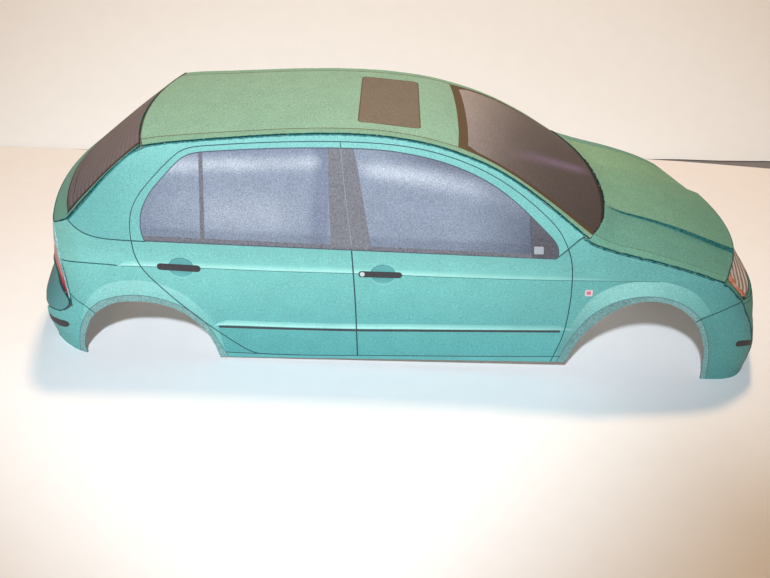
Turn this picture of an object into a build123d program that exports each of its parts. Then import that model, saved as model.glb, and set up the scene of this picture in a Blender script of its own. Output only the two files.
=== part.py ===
from build123d import *
import os
from math import exp, hypot

# ---------------------------------------------------------------------------
# Card model of a five-door hatchback: the printed body shell, with no wheels
# and no floor.  Millimetres, +X to the front of the car, +Z up, origin on the
# floor under the middle of the shell.  Every piece is one sheet of thin card,
# curled or folded, and glued to its neighbours over narrow tabs inside.  The
# shell stands on the lower edges of its bumpers.
# ---------------------------------------------------------------------------

CARD = 0.30            # thickness of the card
TAB = 4.0              # width of the glue tabs inside

# side sheets ---------------------------------------------------------------
SIDE_FOOT = 33.5       # half width where the side meets the floor
SIDE_LEAN = 0.067      # inward lean of the lower side, per mm of height
BELT_Z = 27.6          # height of the fold under the windows
BELT_HALF = 31.65      # half width at that fold
WINDOW_LEAN = 0.4965   # inward lean of the window band, per mm of height

# seam between side and roof, from back to front: x, half width, height
ROOF_EDGE = [
    (-61.0, 24.4, 44.35), (-55.55, 23.3, 45.33), (-51.75, 22.87, 45.95), (-47.7, 22.45, 46.4),
    (-43.7, 22.15, 46.8), (-39.7, 21.9, 47.2), (-35.6, 21.7, 47.6), (-31.6, 21.5, 48.0),
    (-27.5, 21.35, 48.35), (-23.4, 21.2, 48.63), (-19.4, 21.1, 48.87), (-15.3, 21.0, 49.0),
    (-11.2, 21.0, 49.02), (-7.2, 21.05, 48.93), (-3.1, 21.2, 48.62), (1.0, 21.45, 48.15),
    (5.2, 21.8, 47.45), (9.3, 22.3, 46.4), (13.5, 22.95, 45.15), (17.7, 23.8, 43.55),
    (21.9, 25.05, 41.55), (26.1, 26.5, 39.2), (30.3, 28.15, 36.6), (34.6, 29.65, 33.7),
    (36.75, 30.3, 32.3), (40.0, 31.2, 30.2)]
# how far the roof sheet bows forward, and stands up, at the middle of its width
ROOF_BOW = [(-61.0, -3.7, 0.42), (-55.5, -3.3, 0.42), (-47.6, -2.2, 0.42), (-35.6, -0.9, 0.42),
            (-17.6, 0.0, 0.42), (1.0, 0.5, 0.40), (9.3, 1.1, 0.35), (17.7, 2.1, 0.05),
            (26.0, 3.6, -0.35), (30.3, 5.0, -0.80), (34.5, 6.9, -1.10), (36.7, 8.0, -1.2),
            (40.0, 9.5, -1.3)]
# lower edge of the windscreen in plan: x, half width
SCREEN_FOOT = [(36.75, 30.3), (38.6, 27.2), (40.7, 22.6), (42.4, 17.4), (43.6, 11.4), (44.15, 6.1), (44.3, 0.0)]
REAR_LIP = [(-55.55, 23.3), (-56.6, 20.0), (-57.9, 13.0), (-58.6, 6.5), (-58.85, 0.0)]

# fold between bonnet and wing: x, z
WING_FOLD = [(35.45, 32.55), (36.6, 31.95), (38.8, 31.1), (41.3, 30.4), (43.2, 29.9), (47.4, 29.0),
             (51.7, 28.1), (56.1, 27.0), (60.5, 25.75), (64.0, 24.5), (66.5, 23.5)]
REAR_ARCH = [(-69.3, 0.0), (-69.6, 1.2), (-69.6, 2.8), (-69.2, 4.7), (-68.4, 7.15), (-67.1, 9.4), (-65.8, 10.75),
             (-64.0, 12.05), (-62.0, 12.9), (-59.9, 13.35), (-57.6, 13.5), (-55.0, 13.45),
             (-52.5, 13.1), (-50.35, 12.5), (-48.3, 11.6), (-46.2, 10.25), (-44.15, 8.3),
             (-42.5, 6.2), (-41.3, 3.95), (-40.6, 1.85), (-40.2, 0.62)]
FRONT_ARCH = [(35.45, 3.0), (36.25, 5.35), (37.35, 7.95), (38.75, 10.5), (40.5, 12.8), (42.4, 14.75),
              (44.3, 16.2), (46.2, 17.35), (48.2, 18.15), (50.25, 18.65), (52.35, 18.8), (54.5, 18.55),
              (56.8, 17.85), (59.05, 16.7), (60.9, 15.2), (62.2, 13.75), (63.3, 11.95), (64.25, 10.0),
              (64.95, 7.6), (65.4, 5.4), (65.65, 3.0), (65.8, 0.0)]
NOSE_EDGE = [(76.9, 0.0), (77.1, 2.6), (77.1, 5.2), (76.8, 8.1), (75.9, 11.0), (74.6, 13.7),
             (73.1, 16.3), (71.8, 18.5), (70.5, 19.8), (68.9, 21.4), (67.4, 22.65), (66.4, 23.15)]
TAIL_EDGE = [(-70.35, 31.3), (-74.4, 29.0), (-74.35, 26.0), (-73.85, 23.0), (-73.2, 20.6), (-72.5, 17.5),
             (-72.1, 14.5), (-71.75, 12.2), (-71.6, 11.2)]
TAIL_WRAP = [(-73.0, 10.2), (-74.5, 9.4), (-76.3, 9.0), (-78.5, 8.65), (-78.3, 6.2), (-77.8, 2.6), (-77.4, 0.0)]
BELT_TAIL = [(-55.5, BELT_Z), (-59.5, 27.65), (-62.4, 27.8), (-64.85, 28.15), (-66.85, 28.85), (-68.45, 29.75),
             (-70.35, 31.3)]
PILLAR_EDGE = [(-57.65, 43.6), (-60.75, 41.0), (-63.65, 38.05), (-66.8, 34.45), (-68.7, 32.4)]

# bonnet ----------------------------------------------------------------------
# edge of the raised middle sheet: x, half width, height, height of its step
STEP_EDGE = [(40.0, 12.4, 31.75, 0.35), (43.6, 12.8, 31.0, 0.40), (47.0, 13.1, 30.3, 0.45),
             (51.5, 13.5, 29.5, 0.55), (56.0, 13.9, 28.55, 0.65), (60.6, 14.4, 27.4, 0.80),
             (65.3, 14.7, 25.9, 0.90), (70.2, 14.75, 24.15, 1.0), (73.7, 14.6, 22.95, 1.05),
             (77.0, 14.5, 21.75, 1.05)]
BONNET_CROWN = 0.35
SHOULDER_FRONT = [(72.25, 18.9), (70.55, 22.6), (68.7, 26.6), (67.4, 29.3)]
SHOULDER_BACK = [(36.9, 27.4), (39.0, 22.6), (40.8, 17.4), (42.2, 12.8)]

# nose and tail, seen from above at each height --------------------------------
NOSE_MID = [(0.0, 81.8), (2.5, 82.2), (5.0, 82.3), (8.3, 82.2), (11.0, 81.2), (13.5, 80.2),
            (16.0, 78.9), (18.6, 77.3), (19.4, 76.9)]
NOSE_CURVE = [(0.0, 0.0063), (8.3, 0.00635), (11.0, 0.00585), (13.5, 0.00536), (16.0, 0.0022), (18.6, 0.0), (19.4, 0.0)]
NOSE_FLAT = [(0.0, 0.0), (8.3, 0.0), (13.5, 0.0), (16.0, 3.2e-6), (18.6, 5.04e-6), (19.4, 5.1e-6)]
NOSE_CORNER = [(0.0, 0.0), (8.3, 0.0), (11.0, 0.03), (13.5, 0.07), (16.0, 0.092), (18.6, 0.119), (19.4, 0.12)]
NOSE_HALF = [(27.7, 0.0), (28.0, 2.5), (28.4, 5.0), (29.0, 8.3), (29.3, 11.0), (29.6, 13.7),
             (29.75, 16.3), (29.7, 18.4)]
NOSE_START = [(-2.0, 61.7), (0.0, 61.9), (8.3, 62.9), (13.5, 61.4), (18.7, 58.8), (23.5, 55.9), (28.0, 54.4), (36.0, 53.0)]
TAIL_START = [(-2.0, 66.8), (0.0, 67.1), (9.0, 69.6), (12.0, 67.9), (20.0, 67.1), (29.0, 66.4), (36.0, 66.0)]
REAR_BULGE = [(0.0, 1.9), (4.0, 2.5), (8.3, 3.1), (9.2, 3.5), (11.3, 3.05), (13.7, 1.9),
              (16.2, 0.85), (18.6, 0.35), (19.5, 0.32)]
CAP_TOP, CAP_FOOT, BAND_TOP = 19.5, 8.8, 8.7
GLASS_BOW = (-0.35, 0.9)   # bow of the rear window between its top and bottom edges: middle, corners
WINDOW_SIDE = [(27.7, 29.2), (30.45, 31.5), (29.9, 33.1), (28.05, 36.7), (26.2, 39.65), (24.6, 42.4), (23.65, 44.8), (22.9, 46.1)]
CAP_END = [(28.0, CAP_FOOT), (30.4, 9.4), (31.8, 9.85), (32.5, 10.75), (32.7, 11.9), (32.2, 12.9),
           (31.2, 13.6), (29.8, 15.3), (28.7, 17.7), (27.0, CAP_TOP)]


def curve(table, x, col=1):
    """smooth value of a column at x, through the rows of a table"""
    xs = [r[0] for r in table]
    ys = [r[col] for r in table]
    d = [(ys[k + 1] - ys[k]) / (xs[k + 1] - xs[k]) for k in range(len(xs) - 1)]
    if x <= xs[0]:
        return ys[0] + (x - xs[0]) * d[0]
    if x >= xs[-1]:
        return ys[-1] + (x - xs[-1]) * d[-1]
    i = max(k for k in range(len(xs) - 1) if xs[k] <= x)

    def slope(k):
        if k == 0:
            return d[0]
        if k == len(xs) - 1:
            return d[-1]
        h0, h1 = xs[k] - xs[k - 1], xs[k + 1] - xs[k]
        return (d[k - 1] * h1 + d[k] * h0) / (h0 + h1)
    h = xs[i + 1] - xs[i]
    t = (x - xs[i]) / h
    return (ys[i] * (2 * t ** 3 - 3 * t * t + 1) + h * slope(i) * (t ** 3 - 2 * t * t + t)
            + ys[i + 1] * (3 * t * t - 2 * t ** 3) + h * slope(i + 1) * (t ** 3 - t * t))


def clamp(v, lo=0.0, hi=1.0):
    return max(lo, min(hi, v))


def steps(a, b, n):
    return [a + (b - a) * i / n for i in range(n + 1)]


# surfaces --------------------------------------------------------------------
def side_half(x, z):
    """half width of the lower side sheet"""
    w = SIDE_FOOT - SIDE_LEAN * z
    if x < 0:
        d = max(0.0, -x - curve(TAIL_START, z))
        w -= 0.0606 * d * d
    else:
        d = max(0.0, x - curve(NOSE_START, z))
        e = max(0.0, d - 15.6)
        w -= 0.04 * d * min(1.0, d / 3) + 5.2 * (min(d, 15.6) / 15.1) ** 6 + 2.4 * e / (1 + e / 2.5)
        w -= 1.0 * exp(-((x - 34.2) / 2.6) ** 2) * clamp((z - BELT_Z) / 4.2)
    return w


def window_half(x, z):
    """half width of the window band"""
    t = clamp((x - 16.0) / 13.5)
    u = clamp((-42.0 - x) / 14.0)
    return (BELT_HALF - WINDOW_LEAN * (z - BELT_Z) + t * t * (3 - 2 * t) * clamp((z - BELT_Z) / 4.2)
            + 0.45 * u * u * (3 - 2 * u) * clamp((z - BELT_Z) / 12.0))


def roof_height(x, y):
    """height of the roof and windscreen sheet"""
    s = x
    for _ in range(12):
        v = min(1.3, abs(y) / curve(ROOF_EDGE, s))
        s = x - curve(ROOF_BOW, s) * (1 - v * v)
    v = min(1.3, abs(y) / curve(ROOF_EDGE, s))
    return curve(ROOF_EDGE, s, 2) + curve(ROOF_BOW, s, 2) * (1 - v * v)


def rear_face(y, z=15.0):
    """x of the upright rear face, flatter at the corners near the window"""
    a = abs(y)
    t = clamp((z - 20.0) / 9.3)
    return -79.0 + 0.2 * t + (0.00433 + 0.00137 * t) * a * a + (0.0673 - 0.047 * t) * max(0.0, a - 25.0) ** 2


def bumper_back(y, z):
    """x of the rear bumper, which stands out from the rear face"""
    a = abs(y)
    taper = 1.0 - 0.65 * clamp((a - 22.0) / 9.0) ** 2 * clamp((z - 8.8) / 4.5)
    return rear_face(y) - curve(REAR_BULGE, z) * (taper if z > BAND_TOP + 0.05 else 1.0)


def glass_back(y, z):
    """x of the rear window, gently bowed from the tailgate's fold up to the roof's lip"""
    t = (z - 29.3) / (45.9 - 29.3)
    s = min(1.0, (y / 24.0) ** 2)
    bow = GLASS_BOW[0] * (1 - s) + GLASS_BOW[1] * s
    return (1 - t) * rear_face(y, 29.3) + t * (-58.86 + 0.0067 * y * y) - bow * 4 * t * (1 - t)


def nose_face(y, z):
    """x of the front, flatter across the middle and rounder at the corners towards the top"""
    return (curve(NOSE_MID, z) - max(0.0, curve(NOSE_CURVE, z)) * y * y - max(0.0, curve(NOSE_FLAT, z)) * y ** 4
            - max(0.0, curve(NOSE_CORNER, z)) * max(0.0, abs(y) - 26.0) ** 2)


def bonnet_height(x, y):
    w = curve(STEP_EDGE, x, 1)
    return curve(STEP_EDGE, x, 2) + BONNET_CROWN * (1 - (y / w) ** 2)


def shoulder_height(x, y, lower=0.0):
    """height of the bonnet between the raised middle and the wing"""
    w = curve(STEP_EDGE, x, 1)
    z0 = curve(STEP_EDGE, x, 2) - curve(STEP_EDGE, x, 3)
    z1 = curve(WING_FOLD, x)
    w1 = side_half(x, z1)
    t = (abs(y) - w) / (w1 - w)
    return z0 + (z1 - z0) * t + 0.5 * t * (1 - t) - lower


# a sheet of card seen edge-on: a curve, and the same curve one thickness in ------
def inset(points, depth):
    out = []
    for i, (a, b) in enumerate(points):
        p, q = points[max(0, i - 1)], points[min(len(points) - 1, i + 1)]
        dx, dy = q[0] - p[0], q[1] - p[1]
        n = hypot(dx, dy)
        out.append((a - depth * dy / n, b + depth * dx / n))
    return out


def card_edge(points, near=0.0, far=CARD, at=0):
    """the outline of the edge, with its spline knots spaced by one coordinate"""
    k = [p[at] for p in points]
    k = [abs(v - k[0]) / abs(k[-1] - k[0]) for v in k]
    a = add(Edge.make_spline([Vector(*p) for p in (inset(points, near) if near else points)], parameters=k))
    b = add(Edge.make_spline([Vector(*p) for p in inset(points, far)], parameters=k))
    a, b = a.edges()[-1], b.edges()[-1]
    Line(a @ 0, b @ 0)
    Line(a @ 1, b @ 1)


os.makedirs("parts", exist_ok=True)

# side sheets: flat below the belt, leaning in above it, curled at both ends ------
side_xs = [-81.0, -77.5, -74.0, -71.0, -68.0, -64.0, -50.0, -20.0, 10.0, 25.0, 30.0, 34.0, 38.0, 44.0,
           52.0, 58.0, 62.5, 66.5, 70.0, 73.0, 75.5, 78.0, 80.0]
with BuildPart() as lower_sheet:
    for z in (-1.0, 4.0, 8.5, 12.0, 18.0, 23.5, BELT_Z, 34.0):
        with BuildSketch(Plane.XY.offset(z)):
            with BuildLine():
                card_edge([(x, -side_half(x, z)) for x in side_xs])
            make_face()
    loft()
wing_top = [(x, z - CARD - 0.03) for x, z in WING_FOLD[:-1]]
with BuildPart() as lower_outline:
    with BuildSketch(Plane.XZ):
        with BuildLine():
            Polyline(*([TAIL_EDGE[-1]] + TAIL_WRAP + [REAR_ARCH[0]]))
            Spline(*REAR_ARCH)
            Line(REAR_ARCH[-1], FRONT_ARCH[0])
            Spline(*FRONT_ARCH)
            Line(FRONT_ARCH[-1], NOSE_EDGE[0])
            Spline(*NOSE_EDGE)
            Spline(*([NOSE_EDGE[-1]] + wing_top[::-1]))
            Polyline(wing_top[0], (30.2, BELT_Z), BELT_TAIL[0])
            Spline(*BELT_TAIL)
            Polyline(*TAIL_EDGE)
        make_face()
    extrude(amount=50, both=True)

band_xs = [-73.0, -30.0, 0.0, 15.0, 20.4, 24.0, 28.0, 32.0, 40.0]
with BuildPart() as window_sheet:
    for z in (27.0, BELT_Z, 32.6, 38.0, 50.0):
        with BuildSketch(Plane.XY.offset(z)):
            with BuildLine():
                card_edge([(x, -window_half(x, z)) for x in band_xs])
            make_face()
    loft()
seam = [(x, z - CARD * hypot(1, curve(ROOF_EDGE, x + 0.5, 2) - curve(ROOF_EDGE, x - 0.5, 2)) - 0.03)
        for x, w, z in ROOF_EDGE[1:-1]]
seam[0] = (-55.0, 45.05)
with BuildPart() as window_outline:
    with BuildSketch(Plane.XZ):
        with BuildLine():
            Spline(*BELT_TAIL)
            Polyline(BELT_TAIL[0], (30.2, BELT_Z), wing_top[0], seam[-1])
            Spline(*seam[::-1])
            Spline(seam[0], *PILLAR_EDGE, BELT_TAIL[-1])
        make_face()
    extrude(amount=50, both=True)
with BuildPart() as window_band:
    add(window_sheet.part)
    add(window_outline.part, mode=Mode.INTERSECT)

# roof and windscreen: one curled sheet --------------------------------------------
half_steps = [1.04, 0.96, 0.86, 0.73, 0.58, 0.40, 0.20, 0.0]
with BuildPart() as roof_sheet:
    for x in (-60.0, -56.0, -51.0, -44.0, -36.0, -26.0, -16.0, -8.0, -2.0, 4.0, 9.0, 14.0, 19.0, 24.0,
              29.0, 33.5, 37.5, 41.5, 45.5):
        w = curve(ROOF_EDGE, min(x, 37.0)) + 0.8
        ys = [-w * h for h in half_steps] + [w * h for h in half_steps[-2::-1]]
        with BuildSketch(Plane.YZ.offset(x)):
            with BuildLine():
                card_edge([(y, roof_height(x, y)) for y in ys], far=-CARD)
            make_face()
    loft()
with BuildPart() as roof_outline:
    with BuildSketch():
        with BuildLine():
            edge = [(x, -w) for x, w, z in ROOF_EDGE[1:-1]]
            Spline(*edge)
            Spline(*([(x, -w) for x, w in SCREEN_FOOT] + [(x, w) for x, w in SCREEN_FOOT[-2::-1]]))
            Spline(*[(x, -y) for x, y in edge[::-1]])
            Spline(*([(x, w) for x, w in REAR_LIP] + [(x, -w) for x, w in REAR_LIP[-2::-1]]))
        make_face()
    extrude(amount=60)
with BuildPart() as roof_and_windscreen:
    add(roof_sheet.part)
    add(roof_outline.part, mode=Mode.INTERSECT)
roof_and_windscreen.part.label = "roof_and_windscreen"
export_step(roof_and_windscreen.part, "parts/roof_and_windscreen.step")


# rear window, tailgate and the two parts of the rear bumper ---------------------------
def back_rows(face, z, half, n=14):
    return [(face(y, z), y) for y in steps(-half, half, n)]


with BuildPart() as rear_window_panel:
    for z in (29.3, 33.5, 39.5, 45.55):
        with BuildSketch(Plane.XY.offset(z)):
            with BuildLine():
                card_edge(back_rows(glass_back, z, 31.5), far=-0.42, at=1)
            make_face()
    loft()
    with BuildSketch(Plane.YZ):
        Polygon(*([(y, z) for y, z in WINDOW_SIDE] + [(-y, z) for y, z in WINDOW_SIDE[::-1]]), align=None)
    extrude(amount=120, both=True, mode=Mode.INTERSECT)
    add(roof_and_windscreen.part, mode=Mode.SUBTRACT)
rear_window_panel.part.label = "rear_window_panel"
export_step(rear_window_panel.part, "parts/rear_window_panel.step")

with BuildPart() as tailgate_panel:
    with BuildSketch(Plane.XY.offset(11.5)):
        with BuildLine():
            card_edge(back_rows(lambda y, z: rear_face(y), 0, 31.9), far=-CARD, at=1)
        make_face()
    extrude(amount=29.3 - 11.5)
    with BuildSketch(Plane.YZ):
        Polygon((-27.9, 29.3), (27.9, 29.3), (30.1, 20.6), (31.3, 11.5), (-31.3, 11.5), (-30.1, 20.6), align=None)
    extrude(amount=120, both=True, mode=Mode.INTERSECT)
tailgate_panel.part.label = "tailgate_panel"
export_step(tailgate_panel.part, "parts/tailgate_panel.step")

with BuildPart() as rear_bumper_cap:
    for z in (CAP_FOOT - 0.3, 9.3, 10.4, 12.0, 14.0, 16.2, 18.2, CAP_TOP + 0.3):
        with BuildSketch(Plane.XY.offset(z)):
            with BuildLine():
                card_edge(back_rows(bumper_back, z, 33.1, 18), far=-CARD, at=1)
            make_face()
    loft()
    with BuildSketch(Plane.YZ):
        with BuildLine():
            Polyline((0, CAP_FOOT), (-CAP_END[0][0], CAP_END[0][1]))
            Spline(*[(-y, z) for y, z in CAP_END])
            Line((-CAP_END[-1][0], CAP_TOP), (CAP_END[-1][0], CAP_TOP))
            Spline(*CAP_END[::-1])
            Line(CAP_END[0], (0, CAP_FOOT))
        make_face()
    extrude(amount=120, both=True, mode=Mode.INTERSECT)
    add(tailgate_panel.part, mode=Mode.SUBTRACT)
rear_bumper_cap.part.label = "rear_bumper_cap"
export_step(rear_bumper_cap.part, "parts/rear_bumper_cap.step")

with BuildPart() as rear_bumper_band:
    for z in (0.0, 3.0, 6.0, BAND_TOP):
        with BuildSketch(Plane.XY.offset(z)):
            with BuildLine():
                card_edge(back_rows(bumper_back, z, 27.3), far=-CARD, at=1)
            make_face()
    loft()
rear_bumper_band.part.label = "rear_bumper_band"
export_step(rear_bumper_band.part, "parts/rear_bumper_band.step")

# bonnet: raised middle with a small step down to a shoulder on each side ----------------
mid_xs = (41.5, 45.0, 49.0, 54.0, 59.0, 64.0, 68.5, 73.0, 77.5)
with BuildPart() as bonnet_sheet:
    for x in mid_xs:
        with BuildSketch(Plane.YZ.offset(x)):
            with BuildLine():
                card_edge([(y, bonnet_height(x, y)) for y in steps(-16.0, 16.0, 8)], far=-CARD)
            make_face()
    loft()
with BuildPart() as riser_block:
    for x in mid_xs:
        with BuildSketch(Plane.YZ.offset(x)):
            w = curve(STEP_EDGE, x)
            z0 = curve(STEP_EDGE, x, 2)
            with BuildLine():
                Polyline((-w, z0 - curve(STEP_EDGE, x, 3) - 0.1), (-w, z0 - 0.2), (-w + CARD, z0 - 0.2),
                         (-w + CARD, z0 - curve(STEP_EDGE, x, 3) - 0.1), close=True)
            make_face()
    loft()
with BuildPart() as bonnet_outline:
    with BuildSketch():
        with BuildLine():
            side = [(x, -w) for x, w, z, r in STEP_EDGE[1:-1]]
            Spline(*side)
            ThreePointArc(side[-1], (75.8, 0.0), (side[-1][0], -side[-1][1]))
            Spline(*[(x, -y) for x, y in side[::-1]])
            Line((side[0][0], -side[0][1]), side[0])
        make_face()
    extrude(amount=60)
with BuildPart() as bonnet_centre:
    add(bonnet_sheet.part)
    add(riser_block.part)
    add(mirror(riser_block.part, about=Plane.XZ, mode=Mode.PRIVATE))
    add(bonnet_outline.part, mode=Mode.INTERSECT)
    add(roof_and_windscreen.part, mode=Mode.SUBTRACT)
bonnet_centre.part.label = "bonnet_centre"
export_step(bonnet_centre.part, "parts/bonnet_centre.step")

with BuildPart() as bonnet_shoulder_right:
    for x in (34.0, 38.0, 42.0, 47.0, 52.0, 57.0, 62.0, 66.0, 70.0, 74.5):
        w1 = side_half(x, curve(WING_FOLD, x)) + 0.4
        w0 = curve(STEP_EDGE, x) - 0.4
        with BuildSketch(Plane.YZ.offset(x)):
            with BuildLine():
                card_edge([(-y, shoulder_height(x, y)) for y in steps(w1, w0, 4)], far=-CARD)
            make_face()
    loft()
    with BuildSketch():
        with BuildLine():
            inner = [(x, -w) for x, w, z, r in STEP_EDGE[1:-1]]
            outer = [(x, -side_half(x, z)) for x, z in WING_FOLD[::-1]]
            Spline(*inner)
            Spline(*([inner[-1]] + [(x, -w) for x, w in SHOULDER_FRONT] + [outer[0]]))
            Spline(*outer)
            Spline(*([outer[-1]] + [(x, -w) for x, w in SHOULDER_BACK]))
            Line((SHOULDER_BACK[-1][0], -SHOULDER_BACK[-1][1]), inner[0])
        make_face()
    extrude(amount=60, mode=Mode.INTERSECT)
    add(roof_and_windscreen.part, mode=Mode.SUBTRACT)
    add(bonnet_centre.part, mode=Mode.SUBTRACT)
bonnet_shoulder_right.part.label = "bonnet_shoulder_right"
export_step(bonnet_shoulder_right.part, "parts/bonnet_shoulder_right.step")

with BuildPart() as bonnet_shoulder_left:
    add(mirror(bonnet_shoulder_right.part, about=Plane.XZ, mode=Mode.PRIVATE))
bonnet_shoulder_left.part.label = "bonnet_shoulder_left"
export_step(bonnet_shoulder_left.part, "parts/bonnet_shoulder_left.step")

# side panels, cut back where the roof, window, bonnet and bumper sheets cover their edges --
with BuildPart() as right_side_panel:
    add(lower_sheet.part)
    add(lower_outline.part, mode=Mode.INTERSECT)
    add(window_band.part)
right_side_panel.part.label = "right_side_panel"
export_step(right_side_panel.part, "parts/right_side_panel.step")

with BuildPart() as left_side_panel:
    add(mirror(right_side_panel.part, about=Plane.XZ, mode=Mode.PRIVATE))
left_side_panel.part.label = "left_side_panel"
export_step(left_side_panel.part, "parts/left_side_panel.step")

# front: headlamp panel under the bonnet's lip, and the bumper below it ------------------
def lip(y):
    """front edge of the bonnet: x, z"""
    a = abs(y)
    x = curve([(0.0, 75.8), (7.3, 75.3), (14.6, 73.7), (18.9, 72.25), (22.6, 70.55), (26.6, 68.7),
               (29.3, 67.4), (31.5, 66.2)], a)
    z = curve([(0.0, 22.4), (7.3, 22.4), (14.6, 21.85), (18.9, 22.0), (22.6, 22.35), (26.6, 22.9),
               (29.3, 23.3), (31.5, 23.6)], a)
    return x, z - 0.32


with BuildPart() as front_panel:
    for y in steps(-30.4, 30.4, 16):
        xt, zt = lip(y)
        zb = 18.6 - 0.0009 * y * y
        xb = nose_face(y, 18.6) + 0.1
        with BuildSketch(Plane.XZ.offset(-y)):
            with BuildLine():
                Polyline((xt - 0.5, zt), (xb, zb), (xb - 0.35, zb), (xt - 0.9, zt), close=True)
            make_face()
    loft()
    add(right_side_panel.part, mode=Mode.SUBTRACT)
    add(left_side_panel.part, mode=Mode.SUBTRACT)
    add(bonnet_centre.part, mode=Mode.SUBTRACT)
    add(bonnet_shoulder_right.part, mode=Mode.SUBTRACT)
    add(bonnet_shoulder_left.part, mode=Mode.SUBTRACT)
    add(front_panel.part.solids().sort_by(SortBy.VOLUME)[-1], mode=Mode.REPLACE)
front_panel.part.label = "front_panel"
export_step(front_panel.part, "parts/front_panel.step")

with BuildPart() as front_bumper:
    for z in (0.0, 2.5, 5.0, 8.3, 10.8, 13.5, 16.0, 18.4):
        with BuildSketch(Plane.XY.offset(z)):
            with BuildLine():
                card_edge([(nose_face(y, z), y) for y in steps(-30.2, 30.2, 16)], at=1)
            make_face()
    loft()
    with BuildSketch(Plane.YZ):
        with BuildLine():
            Spline(*NOSE_HALF)
            Line(NOSE_HALF[-1], (-NOSE_HALF[-1][0], NOSE_HALF[-1][1]))
            Spline(*[(-y, z) for y, z in NOSE_HALF[::-1]])
            Line((-NOSE_HALF[0][0], 0.0), NOSE_HALF[0])
        make_face()
    extrude(amount=120, both=True, mode=Mode.INTERSECT)
    add(right_side_panel.part, mode=Mode.SUBTRACT)
    add(left_side_panel.part, mode=Mode.SUBTRACT)
    add(front_panel.part, mode=Mode.SUBTRACT)
    add(front_bumper.part.solids().sort_by(SortBy.VOLUME)[-1], mode=Mode.REPLACE)
front_bumper.part.label = "front_bumper"
export_step(front_bumper.part, "parts/front_bumper.step")

# glue tabs: narrow strips inside, each lapping one seam ----------------------------------
GAP = 0.06             # film of glue between a tab and its sheet


def tab_rows(height, x, w0, w1, n=3):
    return [(-y, height(x, y) - CARD - GAP) for y in steps(w0, w1, n)]


def behind_nose(y, z):
    """x just behind the bumper's sheet, measured square to it"""
    slope = (nose_face(y + 0.1, z) - nose_face(y - 0.1, z)) / 0.2
    return nose_face(y, z) - (CARD + 1.5 * GAP) * hypot(1.0, slope)


with BuildPart() as roof_tab_right:
    for x in (-53.0, -44.0, -32.0, -18.0, -6.0, 3.0, 10.0, 16.0, 22.0, 28.0, 32.0):
        w = curve(ROOF_EDGE, x) - 0.55
        with BuildSketch(Plane.YZ.offset(x)):
            with BuildLine():
                card_edge(tab_rows(roof_height, x, w, w - TAB), far=-CARD)
            make_face()
    loft()
roof_tab_right.part.label = "roof_tab_right"
export_step(roof_tab_right.part, "parts/roof_tab_right.step")

with BuildPart() as bonnet_tab_right:
    for x in (46.0, 50.0, 54.0, 58.0, 61.5, 64.5):
        w = side_half(x, curve(WING_FOLD, x)) - 0.9
        with BuildSketch(Plane.YZ.offset(x)):
            with BuildLine():
                card_edge(tab_rows(shoulder_height, x, w, w - TAB), far=-CARD)
            make_face()
    loft()
bonnet_tab_right.part.label = "bonnet_tab_right"
export_step(bonnet_tab_right.part, "parts/bonnet_tab_right.step")

with BuildPart() as rear_corner_tab_right:
    with BuildSketch(Plane.XY.offset(13.0)):
        with BuildLine():
            card_edge([(rear_face(y) + CARD + GAP, y) for y in steps(-28.7, -28.7 + TAB, 5)], far=-CARD, at=1)
        make_face()
    extrude(amount=11.5)
rear_corner_tab_right.part.label = "rear_corner_tab_right"
export_step(rear_corner_tab_right.part, "parts/rear_corner_tab_right.step")

with BuildPart() as front_corner_tab_right:
    for z in (0.8, 4.0, 8.3, 11.0, 14.0, 16.8):
        w = curve([(z, w) for w, z in NOSE_HALF], z) - 1.5
        with BuildSketch(Plane.XY.offset(z)):
            with BuildLine():
                card_edge([(behind_nose(y, z), y) for y in steps(-w, -w + TAB, 5)], at=1)
            make_face()
    loft()
front_corner_tab_right.part.label = "front_corner_tab_right"
export_step(front_corner_tab_right.part, "parts/front_corner_tab_right.step")

with BuildPart() as roof_tab_left:
    add(mirror(roof_tab_right.part, about=Plane.XZ, mode=Mode.PRIVATE))
roof_tab_left.part.label = "roof_tab_left"
export_step(roof_tab_left.part, "parts/roof_tab_left.step")

with BuildPart() as bonnet_tab_left:
    add(mirror(bonnet_tab_right.part, about=Plane.XZ, mode=Mode.PRIVATE))
bonnet_tab_left.part.label = "bonnet_tab_left"
export_step(bonnet_tab_left.part, "parts/bonnet_tab_left.step")

with BuildPart() as rear_corner_tab_left:
    add(mirror(rear_corner_tab_right.part, about=Plane.XZ, mode=Mode.PRIVATE))
rear_corner_tab_left.part.label = "rear_corner_tab_left"
export_step(rear_corner_tab_left.part, "parts/rear_corner_tab_left.step")

with BuildPart() as front_corner_tab_left:
    add(mirror(front_corner_tab_right.part, about=Plane.XZ, mode=Mode.PRIVATE))
front_corner_tab_left.part.label = "front_corner_tab_left"
export_step(front_corner_tab_left.part, "parts/front_corner_tab_left.step")

total = 0.0
for piece in (right_side_panel, left_side_panel, roof_and_windscreen, rear_window_panel, tailgate_panel,
              rear_bumper_cap, rear_bumper_band, bonnet_centre, bonnet_shoulder_right, bonnet_shoulder_left,
              front_panel, front_bumper, roof_tab_right, roof_tab_left, bonnet_tab_right, bonnet_tab_left,
              rear_corner_tab_right, rear_corner_tab_left, front_corner_tab_right, front_corner_tab_left):
    box = piece.part.bounding_box()
    total += piece.part.volume
    print(f"{piece.part.label:24s} {piece.part.volume:8.1f} mm3  x {box.min.X:7.2f} {box.max.X:7.2f}"
          f"  y {box.min.Y:7.2f} {box.max.Y:7.2f}  z {box.min.Z:6.2f} {box.max.Z:6.2f}")
print(f"card in all {total:.0f} mm3")
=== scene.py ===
import math

import bpy
import numpy as np
from mathutils import Matrix, Vector
from mathutils.geometry import delaunay_2d_cdt


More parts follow.
